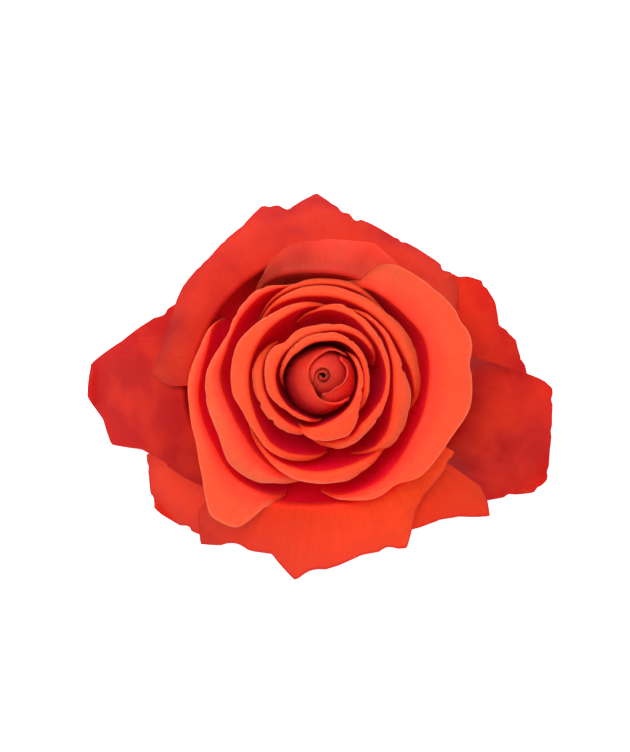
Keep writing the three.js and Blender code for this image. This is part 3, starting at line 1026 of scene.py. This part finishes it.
@dataclass
class Hip:
    """The swollen green base that carries the petals: a belly, a straight collar and a cone.

    fullness is how far the belly's curve is pulled outward and upward. shoulder_round and cone_step
    are steps inward and upward from the shoulder, to its rounding and to the foot of the cone.
    """

    axis: Vector
    floor: float = 4.5
    floor_face_radius: float = 1.5
    neck_radius: float = 3.4
    shoulder_radius: float = 8.86
    collar_height: float = 2.4
    shoulder_height: float = 8.06
    shoulder_round: Pair = (0.15, 0.1)
    cone_step: Pair = (0.5, 0.35)
    top_radius: float = 2.2
    top_height: float = 16.2
    top_face_radius: float = 1
    fullness: Pair = (0.6, 0.4)
    belly_rings: int = 18
    collar_rings: int = 6
    cone_rings: int = 16
    segments: int = 120
    ribs: int = 5
    rib_depth: float = 0.054
    rib_radii: Pair = (2, 6)
    skin: Unevenness = Unevenness((9, 1.5), 5, 0.054)
    seed: int = 7
    finish: GreenFinish = GreenFinish("hip_skin", light=(0.20, 0.30, 0.07), dark=(0.09, 0.17, 0.035))

    def profile(self) -> np.ndarray:
        """Draw the hip's profile.

        Returns:
            (radius, height) rows in mm, from the neck up.
        """
        wide, high = self.shoulder_radius, self.shoulder_height
        collar = high - self.collar_height
        belly = bezier(
            (self.neck_radius, self.floor),
            (self.neck_radius + self.fullness[0] * (wide - self.neck_radius), self.floor),
            (wide, self.floor + self.fullness[1] * (collar - self.floor)),
            (wide, collar),
            count=self.belly_rings,
        )
        band = np.linspace([wide, collar], [wide, high], self.collar_rings + 1)[1:]
        rounding = [(wide - self.shoulder_round[0], high + self.shoulder_round[1])]
        cone_foot = [wide - self.cone_step[0], high + self.cone_step[1]]
        cone = np.linspace(cone_foot, [self.top_radius, self.top_height], self.cone_rings)
        floor_face = [(self.floor_face_radius, self.floor)]
        top_face = [(self.top_face_radius, self.top_height)]
        return np.concatenate([floor_face, belly, band, rounding, cone, top_face])

    def build(self) -> bpy.types.Object:
        """Make the hip.

        Returns:
            The hip's object.
        """
        radius, height = self.profile().T
        turn = np.linspace(0, math.tau, self.segments, endpoint=False)[None, :]
        relief = self.rib_depth * np.cos(self.ribs * turn) + self.skin.at(turn, height[:, None], self.seed)
        uneven = radius[:, None] + relief * smooth_step(*self.rib_radii, radius)[:, None]
        mesh = turned_mesh("hip_mesh", uneven * MM, height * MM, self.axis)
        mesh.materials.append(self.finish.material())
        return new_object("rose_hip", mesh)


@dataclass
class CutStem:
    """The short stub of stem: faintly angular bark outside, a cut face with pith below.

    angularity and the bark's reach are shares of the radius. pith_radii are rings on the cut face.
    """

    axis: Vector
    radius: float = 2.8
    length: float = 4.2
    bevel: float = 0.15
    pith_radii: Pair = (0.8, 1.6)
    top_face_radius: float = 1.2
    segments: int = 72
    rings: int = 12
    angles: int = 5
    angles_turn: float = 0.5
    angularity: float = 0.018
    bark: Unevenness = Unevenness((12, 1.2), 4, 0.008)
    seed: int = 11
    finish: GreenFinish = GreenFinish(
        "stem_skin", light=(0.17, 0.27, 0.06), dark=(0.08, 0.15, 0.03), roughness=0.45, grain=420
    )

    def build(self) -> bpy.types.Object:
        """Make the stem.

        Returns:
            The stem's object.
        """
        steps = np.linspace(self.bevel, self.length - self.bevel, self.rings)
        height = np.concatenate([[0, 0, 0], steps, [self.length, self.length]])
        flat, bark = self.radius - self.bevel, np.full(self.rings, self.radius)
        radius = np.concatenate([self.pith_radii, [flat], bark, [flat, self.top_face_radius]])
        turn = np.linspace(0, math.tau, self.segments, endpoint=False)[None, :]
        angular = self.angularity * np.cos(self.angles * turn + self.angles_turn)
        uneven = 1 + angular + self.bark.at(turn, height[:, None], self.seed)
        mesh = turned_mesh("cut_stem_mesh", radius[:, None] * uneven * MM, height * MM, self.axis)
        mesh.materials.append(self.finish.material())
        return new_object("rose_cut_stem", mesh)


# ---- Growth ----


class GrowthTree(Graph):
    """A Geometry Nodes tree with named inputs, which ends in Realize Instances and Set Material."""

    def __init__(self, name: str, sizes: dict[str, float]) -> None:
        """Start a tree.

        Args:
            name: The tree's name.
            sizes: Name and value of each number that it takes.
        """
        super().__init__(bpy.data.node_groups.new(name, "GeometryNodeTree"))
        sockets = self.tree.interface
        sockets.new_socket(name="Geometry", in_out="OUTPUT", socket_type="NodeSocketGeometry")
        sockets.new_socket(name="Geometry", in_out="INPUT", socket_type="NodeSocketGeometry")
        for size in sizes:
            sockets.new_socket(name=size, in_out="INPUT", socket_type="NodeSocketFloat")
        sockets.new_socket(name="Material", in_out="INPUT", socket_type="NodeSocketMaterial")
        self.sizes = sizes
        self.given = self.add("NodeGroupInput").outputs

    def join(self, *parts: bpy.types.NodeSocket) -> bpy.types.NodeSocket:
        """Join geometries.

        Args:
            *parts: The outputs that hold them.

        Returns:
            The output that holds them all.
        """
        both = self.add("GeometryNodeJoinGeometry")
        for part in parts:
            self.tree.links.new(part, both.inputs[0])
        return both.outputs[0]

    def end(self, geometry: bpy.types.NodeSocket) -> None:
        """Finish the tree.

        Args:
            geometry: The output that holds the result.
        """
        real = self.add("GeometryNodeRealizeInstances", {"Geometry": geometry}).outputs[0]
        named = self.add("GeometryNodeSetMaterial", {"Geometry": real, "Material": self.given["Material"]})
        self.add("NodeGroupOutput", {"Geometry": named.outputs[0]})

    def grow(self, piece: bpy.types.Object, material: bpy.types.Material) -> None:
        """Run the tree on a piece and keep the result as the piece's plain mesh.

        Args:
            piece: The piece.
            material: What the result is made of.
        """
        modifier = piece.modifiers.new("growth", "NODES")
        modifier.node_group = self.tree
        values = {**self.sizes, "Material": material}
        for socket in self.tree.interface.items_tree:
            if socket.in_out == "INPUT" and socket.name in values:
                modifier[socket.identifier] = values[socket.name]
        depsgraph = bpy.context.evaluated_depsgraph_get()
        plain = bpy.data.meshes.new_from_object(piece.evaluated_get(depsgraph))
        piece.modifiers.clear()
        piece.data = plain


@dataclass(frozen=True)
class Hairs:
    """The short tapering hairs on the sepals: length and root radius in mm, and hairs to the mm2."""

    length: float = 0.55
    radius: float = 0.035
    density: float = 1.6
    sides: int = 4
    shortest: float = 0.4
    place_seed: int = 5
    size_seed: int = 3

    def tree(self) -> GrowthTree:
        """Build the tree that covers a surface with the hairs.

        Returns:
            The tree.
        """
        sizes = {"Hair Length": self.length * MM, "Root Radius": self.radius * MM}
        tree = GrowthTree("sepal_hairs", {**sizes, "Density": self.density / MM**2})
        given = tree.given
        spots = {"Mesh": given["Geometry"], "Density": given["Density"], "Seed": self.place_seed}
        points = tree.add("GeometryNodeDistributePointsOnFaces", spots).outputs
        cone = {"Vertices": self.sides, "Radius Top": 0.0}
        cone |= {"Radius Bottom": given["Root Radius"], "Depth": given["Hair Length"]}
        hair = tree.add("GeometryNodeMeshCone", cone).outputs["Mesh"]
        span = {"Min": (self.shortest,) * 3, "Max": (1, 1, 1), "Seed": self.size_seed}
        size = tree.add("FunctionNodeRandomValue", span, data_type="FLOAT_VECTOR").outputs[0]
        inputs = {"Points": points["Points"], "Instance": hair, "Rotation": points["Rotation"], "Scale": size}
        hairs = tree.add("GeometryNodeInstanceOnPoints", inputs).outputs[0]
        tree.end(tree.join(hairs, given["Geometry"]))
        return tree


# ---- Sepals ----


@dataclass
class Sepals:
    """The five reflexed sepals under the petals: long, keeled, slightly lobed and softly hairy.

    half_wave is the stretch of a half wave that the width follows: its start and its length. reach
    and droop bend the spine outward and down. lobes are the places of the side lobes, which every
    second sepal has. Places and flat_foot are shares of the length.
    """

    axis: Vector
    count: int = 5
    first_angle: float = 20
    length: float = 23
    width: float = 8
    thickness: float = 0.8
    thinning: tuple[float, ...] = (1, 0.75, 0.35)
    tip_width: float = 0.5
    tip_inset: float = 0.3
    half_wave: Pair = (0.25, 0.73)
    foot_radius: float = 9.16
    foot_height: float = 6.86
    tip_height: float = 1.2
    reach: Pair = (0.35, 0.7)
    droop: float = 0.6
    cup: float = 0.6
    cup_power: float = 1.5
    flat_foot: float = 1 / 12
    keel_depth: float = 0.35
    keel_width: float = 0.14
    lobes: Pair = (0.46, 0.63)
    lobe_width: float = 1.1
    lobe_length: float = 0.035
    rows: int = 61
    columns: int = 17
    skin: Unevenness = Unevenness((1.3, 1.6), 5, 0.12)
    first_seed: int = 60
    hairs: Hairs = Hairs()
    finish: GreenFinish = GreenFinish(
        "sepal_skin", light=(0.19, 0.30, 0.08), dark=(0.10, 0.19, 0.045), roughness=0.62, grain=500
    )

    def grid(self, number: int) -> np.ndarray:
        """Lay out one sepal's middle surface.

        Args:
            number: Which sepal, from 0.

        Returns:
            The points, across by along by 3, in mm about the axis.
        """
        along = np.linspace(0, 1, self.rows)
        drop = self.foot_height - self.tip_height
        x, spine_height = bezier(
            (self.foot_radius, self.foot_height),
            (self.foot_radius + self.reach[0] * self.length, self.foot_height),
            (self.foot_radius + self.reach[1] * self.length, self.foot_height - self.droop * drop),
            (self.foot_radius + self.length - self.tip_inset, self.tip_height),
            count=self.rows,
        ).T
        start, part = self.half_wave
        half = np.maximum(self.tip_width, self.width * np.sin(math.pi * (start + part * along))) / 2
        lobes = sum(np.exp(-(((along - place) / self.lobe_length) ** 2)) for place in self.lobes)
        half += self.lobe_width * lobes * (number % 2)
        across = np.linspace(-1, 1, self.columns)[:, None]
        y = across * half
        keel = self.keel_depth * np.exp(-((across / self.keel_width) ** 2))
        crown = self.cup * np.abs(across) ** self.cup_power - keel
        lift = crown + self.skin.at(x, y, self.first_seed + number)
        z = spine_height + lift * np.minimum(1, along / self.flat_foot)
        turn = math.radians(self.first_angle + 360 / self.count * number)
        cos, sin = math.cos(turn), math.sin(turn)
        return np.stack([x * cos - y * sin, x * sin + y * cos, z], -1)

    def build(self, number: int, tree: GrowthTree, material: bpy.types.Material) -> bpy.types.Object:
        """Make one sepal with its hairs.

        Args:
            number: Which sepal, from 0.
            tree: Grows the hairs.
            material: The sepals' skin.

        Returns:
            The sepal's object.
        """
        grid = self.grid(number)
        taper = np.interp(np.linspace(0, 1, self.rows), [0, 0.5, 1], self.thinning)
        thickness = np.broadcast_to(self.thickness * taper, grid.shape[:2])
        points = grid * MM + np.array(self.axis)
        piece = new_object(f"rose_sepal_{number + 1}", sheet_mesh("sepal_mesh", points, thickness * MM))
        tree.grow(piece, material)
        return piece

    def make_all(self) -> None:
        """Build and hand over every sepal."""
        material, tree = self.finish.material(), self.hairs.tree()
        for number in range(self.count):
            hand_over(self.build(number, tree, material), f"sepal_{number + 1}")


# ---- Stamens ----


@dataclass
class Stamens:
    """The tuft in the closed middle: leaning filaments, each with an anther on its tip.

    lean is how much a filament leans outward for each mm that its foot stands from the axis.
    shortest is the size of the smallest stamen as a share of the largest.
    """

    axis: Vector
    floor: float = 16.5
    height: float = 6.6
    shortest: float = 0.72
    foot_radius: float = 0.95
    lean: float = 0.09
    count: int = 85
    filament_radius: float = 0.055
    filament_taper: float = 0.7
    filament_sides: int = 6
    anther_radius: float = 0.17
    anther_shape: Triple = (1, 0.6, 1.5)
    anther_segments: int = 8
    anther_rings: int = 5
    golden_angle: float = math.pi * (3 - math.sqrt(5))
    seed: int = 9
    finish: StamenFinish = StamenFinish()

    def tree(self) -> GrowthTree:
        """Build the tree that stands the stamens in a spiral.

        Returns:
            The tree.
        """
        sizes = {
            "Count": self.count, "Foot Radius": self.foot_radius * MM, "Height": self.height * MM,
            "Lean": self.lean / MM, "Filament Radius": self.filament_radius * MM,
            "Anther Radius": self.anther_radius * MM,
        }
        tree = GrowthTree("stamen_tuft", sizes)
        given, calc = tree.given, tree.calc
        index = tree.add("GeometryNodeInputIndex").outputs[0]
        turn = calc("MULTIPLY", index, self.golden_angle)
        share = calc("DIVIDE", calc("ADD", index, 0.5), given["Count"])
        radius = calc("MULTIPLY", calc("SQRT", share), given["Foot Radius"])
        x = calc("MULTIPLY", radius, calc("COSINE", turn))
        y = calc("MULTIPLY", radius, calc("SINE", turn))
        spots = {"Count": self.count, "Position": tree.vector(x, y, 0.0)}
        points = tree.add("GeometryNodePoints", spots).outputs[0]
        aim = tree.vector(calc("MULTIPLY", x, given["Lean"]), calc("MULTIPLY", y, given["Lean"]), 1.0)
        rotation = tree.add("FunctionNodeAlignRotationToVector", {"Vector": aim}, axis="Z").outputs[0]
        size = tree.add("FunctionNodeRandomValue", {2: self.shortest, 3: 1.0, "Seed": self.seed}).outputs[1]
        inputs = {"Points": points, "Instance": self.stamen(tree), "Rotation": rotation, "Scale": size}
        tree.end(tree.add("GeometryNodeInstanceOnPoints", inputs).outputs[0])
        return tree

    def stamen(self, tree: GrowthTree) -> bpy.types.NodeSocket:
        """Make one stamen in the tree.

        Args:
            tree: The tree.

        Returns:
            The output that holds the filament with its anther.
        """
        root, height = tree.given["Filament Radius"], tree.given["Height"]
        cone = {"Vertices": self.filament_sides, "Radius Bottom": root, "Depth": height}
        cone["Radius Top"] = tree.calc("MULTIPLY", root, self.filament_taper)
        filament = tree.add("GeometryNodeMeshCone", cone).outputs["Mesh"]
        sphere = {"Segments": self.anther_segments, "Rings": self.anther_rings}
        sphere["Radius"] = tree.given["Anther Radius"]
        ball = tree.add("GeometryNodeMeshUVSphere", sphere).outputs["Mesh"]
        placed = {"Geometry": ball, "Translation": tree.vector(0.0, 0.0, height), "Scale": self.anther_shape}
        return tree.join(filament, tree.add("GeometryNodeTransform", placed).outputs[0])

    def build(self) -> bpy.types.Object:
        """Make the tuft.

        Returns:
            The tuft's object.
        """
        piece = new_object("rose_stamens", bpy.data.meshes.new("stamen_seed"))
        self.tree().grow(piece, self.finish.material())
        foot = self.axis + Vector((0, 0, self.floor * MM))
        for vertex in piece.data.vertices:
            vertex.co += foot
        return piece


# ---- Studio ----


@dataclass
class Studio:
    """A white light table, one large soft light at the upper left and a camera straight above.

    Sizes here are in metres, but for the sensor and the aim's offset, which are in mm.
    """

    axis: Vector
    floor_size: float = 6.0
    floor_drop: float = 0.0002
    floor_colour: Colour = (0.92, 0.92, 0.92)
    floor_glow: float = 0.7
    floor_roughness: float = 0.9
    floor_shine: float = 0.1
    room_light: float = 0.68
    key_power: float = 13
    key_size: float = 0.7
    key_distance: float = 1.2
    key_azimuth: float = 120
    key_elevation: float = 72
    camera_height: float = 2.0
    focus_height: float = 0.027
    frame_height: float = 0.1756
    far_end: float = 20
    sensor: float = 36
    aim_offset: Pair = (-1.87, 0)

    def build(self) -> None:
        """Make the floor, the lights and the camera."""
        self.add_floor()
        self.add_lights()
        self.add_camera()

    def add_floor(self) -> None:
        """Lay the pale floor under the flower."""
        half, low = self.floor_size / 2, -self.floor_drop
        corners = [(-half, -half, low), (half, -half, low), (half, half, low), (-half, half, low)]
        mesh = bpy.data.meshes.new("floor_mesh")
        mesh.from_pydata(corners, [], [(0, 1, 2, 3)])
        s = Surface("light_table")
        s.set(Base_Color=(*self.floor_colour, 1), Roughness=self.floor_roughness)
        s.set(Specular_IOR_Level=self.floor_shine)
        s.set(Emission_Color=(1, 1, 1, 1), Emission_Strength=self.floor_glow)
        mesh.materials.append(s.material)
        new_object("floor", mesh)

    def add_lights(self) -> None:
        """Set the room's even light and the soft key light."""
        world = bpy.data.worlds.new("studio_air")
        world.use_nodes = True
        air = world.node_tree.nodes["Background"]
        air.inputs["Color"].default_value = (1, 1, 1, 1)
        air.inputs["Strength"].default_value = self.room_light
        bpy.context.scene.world = world
        light = bpy.data.lights.new("key_light", "AREA")
        light.shape, light.size, light.energy = "DISK", self.key_size, self.key_power
        key = bpy.data.objects.new("key_light", light)
        up, around = math.radians(self.key_elevation), math.radians(self.key_azimuth)
        way = Vector((math.cos(up) * math.cos(around), math.cos(up) * math.sin(around), math.sin(up)))
        key.location = self.axis + way * self.key_distance
        key.rotation_euler = way.to_track_quat("Z", "Y").to_euler()
        bpy.context.scene.collection.objects.link(key)

    def add_camera(self) -> None:
        """Hang the camera straight above the flower, upright along +Y."""
        lens = bpy.data.cameras.new("camera")
        lens.sensor_width = self.sensor
        lens.lens = self.sensor * (self.camera_height - self.focus_height) / self.frame_height
        lens.clip_end = self.far_end
        camera = bpy.data.objects.new("camera", lens)
        x, y = self.axis.x + self.aim_offset[0] * MM, self.axis.y + self.aim_offset[1] * MM
        camera.location = (x, y, self.camera_height)
        bpy.context.scene.collection.objects.link(camera)
        bpy.context.scene.camera = camera
        bpy.context.scene.view_settings.view_transform = "Standard"


# ---- The petals' outlines ----

# Where a petal is given a shade amount, it is painted crimson shade: at its first side, at its last side and
# added at the rim.
PETALS = (
    Petal(
        "heart_scroll", Whorl.HEART, lift=-0.8, sink=0, fall=0.3, corner=60, dive=0.05,
        belly=((205, 0.6), (330, 2.2), (420, 2.6), (555, 1.2)),
        crest=((-180, 0.12), (90, 0.55), (215, 1.15), (400, 1.5), (545, 1.75)),
        rim=((-180, 0.3), (90, 0.85), (215, 1.6), (400, 2), (545, 2.25)),
    ),
    Petal(
        "bud_right_petal", Whorl.HEART, lift=-1.2, sink=1.5, fall=0.3, corner=14,
        belly=((-105, 2.2), (-45, 2.4), (0, 1), (58, 0.2)),
        crest=((-95, 3.3), (-70, 3.6), (-45, 3.5), (-25, 4.3), (-5, 5), (20, 5.4), (48, 5)),
        rim=((-95, 4), (-45, 4.2), (-25, 5), (-5, 5.7), (20, 6.1), (48, 5.7)),
    ),
    Petal(
        "bud_left_petal", Whorl.BUD, lift=-1.5, sink=2, fall=0.4, corner=14,
        belly=((30, 0), (70, 0.3), (95, 0.9), (125, 1.7), (155, 3.2), (200, 4), (225, 4.1), (265, 2.6),
            (285, 1.6), (305, 0.8), (330, 0.3)),
        crest=((40, 6.7), (70, 6), (95, 4.6), (125, 3.6), (155, 3.1), (200, 2.7), (225, 2.9),
            (265, 5), (285, 6), (305, 7), (320, 7.4)),
        rim=((40, 7.2), (70, 6.8), (95, 5.6), (125, 4.6), (155, 4.1), (200, 3.6), (225, 3.6),
            (265, 5.8), (285, 6.9), (305, 7.7), (320, 8.1)),
    ),
    Petal(
        "inner_lower_petal", Whorl.INNER, lift=1.6, sink=3, fall=1.5, corner=22,
        crest=((-110, 12.6), (-100, 12), (-80, 10.5), (-60, 9.6), (-40, 9), (-20, 8.5),
            (0, 8.3), (37, 8)),
        rim=((-110, 14.8), (-70, 15), (-60, 14), (-50, 12.5), (-40, 11), (-20, 9.7),
            (0, 9.2), (37, 8.6)),
    ),
    Petal(
        "inner_top_petal", Whorl.INNER, lift=0.6, sink=3, fall=0.5,
        crest=((-40, 11), (-20, 10.1), (0, 9.7), (40, 9.5), (60, 9.2), (90, 8.3), (130, 8.1),
            (150, 8.7), (182, 9.7)),
        rim=((-40, 12), (-20, 11.2), (0, 10.7), (50, 10.5), (75, 10.4), (90, 9.9),
            (150, 9.8), (182, 10.3)),
    ),
    Petal(
        "inner_left_petal", Whorl.INNER, lift=0, sink=3, fall=1.2, corner=20,
        crest=((22, 13), (35, 12.5), (50, 12), (65, 11.3), (80, 10.7), (100, 10.2),
            (135, 10.2), (155, 10.5), (185, 11), (220, 10.9), (240, 10.5), (260, 10.6)),
        rim=((22, 13.6), (50, 13.2), (70, 12.8), (80, 12), (120, 12), (137, 11.8),
            (150, 13.2), (165, 13.7), (195, 13.3), (215, 12.3), (225, 11.5), (260, 11.1)),
    ),
    Petal(
        "ring_lower_left_petal", Whorl.INNER, lift=-0.5, sink=3, fall=1.5,
        crest=((160, 14.5), (175, 14.3), (215, 13.9), (250, 13.6)),
        rim=((160, 16.2), (175, 16.5), (200, 16.2), (220, 16), (250, 15.2)),
    ),
    Petal(
        "ring_right_petal", Whorl.INNER, lift=0.4, sink=3, fall=1.5,
        crest=((-86, 15.6), (-65, 15.4), (-50, 14.2), (-35, 14.2), (-20, 14.6), (0, 14.6),
            (20, 14.4), (40, 14.4), (65, 15.3), (85, 15.6), (98, 15.4)),
        rim=((-86, 17.3), (-75, 17.6), (-55, 16.6), (-30, 16), (0, 15.5), (20, 15.7),
            (60, 16.3), (75, 17.2), (98, 15.9)),
    ),
    Petal(
        "ring_upper_left_petal", Whorl.INNER, lift=0.3, sink=3, fall=2,
        crest=((94, 16.6), (120, 16.4), (145, 16.8), (165, 17.2), (200, 17.8), (220, 18.9),
            (235, 19.8), (256, 19.4)),
        rim=((94, 17.6), (125, 18.5), (145, 20), (162, 21.3), (190, 21.4), (205, 20.4),
            (220, 20.6), (235, 21.4), (256, 21.3)),
    ),
    Petal(
        "ring_lower_right_petal", Whorl.INNER, lift=0.3, sink=3, fall=2,
        crest=((-53, 21), (-40, 19.8), (-28, 18.2), (-15, 17), (0, 16.4), (15, 16.4),
            (35, 17), (62, 17.2)),
        rim=((-53, 22.4), (-47, 23.2), (-30, 22), (-12, 20.7), (0, 19.2), (10, 18.4),
            (30, 17.9), (62, 17.8)),
    ),
    Petal(
        "ring_top_petal", Whorl.INNER, lift=0.2, sink=3, fall=2,
        crest=((-13, 22.2), (-5, 21.2), (5, 20.2), (15, 19.3), (25, 18.9), (60, 18.5),
            (90, 18.7), (110, 19.4), (126, 20.3)),
        rim=((-13, 23.4), (-5, 23.2), (10, 22.2), (25, 21.9), (42, 21), (60, 20.7),
            (100, 21), (126, 21.2)),
    ),
    Petal(
        "ring_bottom_petal", Whorl.INNER, lift=0.2, sink=3, fall=2,
        crest=((228, 22.1), (240, 22.5), (265, 22.3), (290, 22), (304, 22.2)),
        rim=((228, 23.1), (240, 23.9), (262, 25), (280, 25), (304, 23.6)),
    ),
    Petal(
        "ring_top_outer_petal", Whorl.INNER, lift=-1, sink=3, fall=1,
        crest=((52, 21.4), (80, 21.7), (105, 21.8), (122, 21.9)),
        rim=((52, 21.9), (80, 22.7), (105, 22.7), (122, 22.4)),
    ),
    Petal(
        "outer_left_petal", Whorl.OUTER, lift=1, sink=3, fall=3,
        crest=((112, 22.8), (130, 23.8), (143, 23.8), (155, 23.4), (165, 23.3), (180, 24),
            (205, 23), (215, 23.1), (225, 23.8), (246, 25.3)),
        rim=((112, 23.4), (130, 25.3), (143, 25), (155, 24.2), (168, 25.5), (180, 27.3),
            (210, 28.1), (225, 29.8), (238, 29.9), (246, 29)),
    ),
    Petal(
        "outer_right_petal", Whorl.OUTER, lift=3, sink=1.5, fall=4, corner=24, painted_shade_amount=(0, 0.35, 0),
        crest=((-80, 28.4), (-65, 28), (-50, 26.9), (-30, 25), (-15, 24.8), (0, 24.8),
            (20, 24.9), (35, 24), (50, 23.1), (66, 22.6)),
        rim=((-80, 29.8), (-65, 31), (-57, 30.5), (-45, 32.5), (-27, 33), (-10, 35),
            (5, 34.5), (13, 35.5), (24, 34.6), (32, 33.8), (40, 32.6), (50, 31.6),
            (60, 30.6), (66, 29.4)),
    ),
    Petal(
        "outer_top_petal", Whorl.OUTER, lift=0, sink=3.5, fall=-1, corner=24, painted_shade_amount=(0.5, 1.3, 0),
        crest=((44, 24.8), (55, 24.4), (70, 24), (90, 24.3), (110, 25.5), (122, 26.4)),
        rim=((44, 31), (52, 31.2), (62, 32), (69, 33), (80, 32), (100, 31.5), (113, 30), (122, 28.4)),
    ),
    Petal(
        "guard_left_inner_petal", Whorl.OUTER, lift=2.5, sink=1, fall=5, corner=14,
        crest=((156, 28.2), (166, 27.8), (180, 28.6), (190, 29.5), (210, 30), (230, 31.4),
            (246, 30.8)),
        rim=((156, 28.8), (168, 29.6), (180, 31.2), (205, 33), (218, 36), (226, 39.5), (232, 42),
            (240, 41), (246, 35)),
    ),
    Petal(
        "guard_top_petal", Whorl.GUARD, lift=-1, sink=0, fall=15, painted_shade_amount=(0.75, 0.85, 0.12),
        crest=((26, 28.6), (50, 27.8), (85, 27.8), (105, 28.2), (130, 28.8), (150, 29.2),
            (165, 30), (184, 31.4)),
        rim=((26, 34.4), (35, 39), (49, 37.5), (63, 36.5), (79, 38), (87, 40.5), (92, 43),
            (100, 40.5), (110, 42.5), (118, 40), (134, 38.5), (147, 39), (162, 38),
            (171, 38.5), (179, 40.5), (184, 36)),
    ),
    Petal(
        "guard_bottom_petal", Whorl.GUARD, lift=-1, sink=0, fall=16, painted_shade_amount=(0.75, -0.15, 0.1),
        crest=((-133, 33.4), (-115, 32.2), (-100, 30.8), (-85, 30.4), (-60, 31), (-30, 31)),
        rim=((-133, 43), (-126, 49), (-120, 46), (-113, 44.5), (-106, 43.5), (-98, 48.5),
            (-91, 46), (-78, 43), (-69, 43.5), (-64, 45), (-56, 38.5), (-50, 36.5),
            (-30, 35.5)),
    ),
    Petal(
        "guard_left_petal", Whorl.GUARD, lift=-1.5, sink=2, rests=True, painted_shade_amount=(1, 1.05, 0.1),
        crest=((154, 32.6), (184, 33.4), (222, 34)),
        rim=((154, 38.5), (162, 42.5), (170, 48), (177, 55), (185, 56), (191, 53),
            (198, 52.5), (202, 46), (206, 43.5), (222, 38.5)),
    ),
    Petal(
        "guard_upper_right_petal", Whorl.GUARD, lift=-2.2, sink=0, fall=9, slant=8.5,
        painted_shade_amount=(0.85, 0.75, 0.1),
        crest=((0, 32.8), (20, 33), (38, 33)),
        rim=((0, 48), (3, 47.6), (6, 46.5), (12, 46), (16, 43), (23, 44), (31, 43.5), (38, 39)),
    ),
    Petal(
        "guard_lower_right_petal", Whorl.GUARD, lift=-2.4, sink=0, fall=11, painted_shade_amount=(0.45, 0.5, 0.1),
        crest=((-61, 34.3), (-35, 34.3)),
        rim=((-61, 41.5), (-51, 43.5), (-46, 46), (-40, 51.5), (-37, 48.5), (-35, 45.5)),
    ),
    Petal(
        "guard_right_petal", Whorl.GUARD, lift=-2, sink=7, rests=True, painted_shade_amount=(1, 0.8, 0.1),
        crest=((-38, 35.6), (0, 36.2), (9, 36.8), (12, 37)),
        rim=((-38, 48), (-32, 53), (-29, 57), (-25, 58.5), (-18, 56.5), (-10, 55),
            (-3, 54.3), (-1, 52), (1, 47.5), (3, 46), (12, 44)),
    ),
    Petal(
        "guard_lower_left_petal", Whorl.GUARD, lift=-1.6, sink=0, rests=True, painted_shade_amount=(0.6, 0.65, 0.2),
        crest=((-156, 36.6), (-122, 37)),
        rim=((-156, 45.5), (-150, 47.5), (-142, 51), (-132, 48.5), (-122, 46)),
    ),
)

def flower_axis() -> Vector:
    """Return the point where the flower's axis meets the table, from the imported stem."""
    low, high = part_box("cut_stem")
    return Vector(((low[0] + high[0]) / 2, (low[1] + high[1]) / 2, low[2]))


def main() -> None:
    """Build the whole flower and its studio."""
    logging.basicConfig(level=logging.INFO, format="%(name)s: %(message)s")
    axis = flower_axis()
    Bloom(axis).make_all()
    hand_over(Hip(axis).build(), "hip")
    hand_over(CutStem(axis).build(), "cut_stem")
    Sepals(axis).make_all()
    hand_over(Stamens(axis).build(), "stamens")
    Studio(axis).build()


if __name__ == "__main__":
    main()
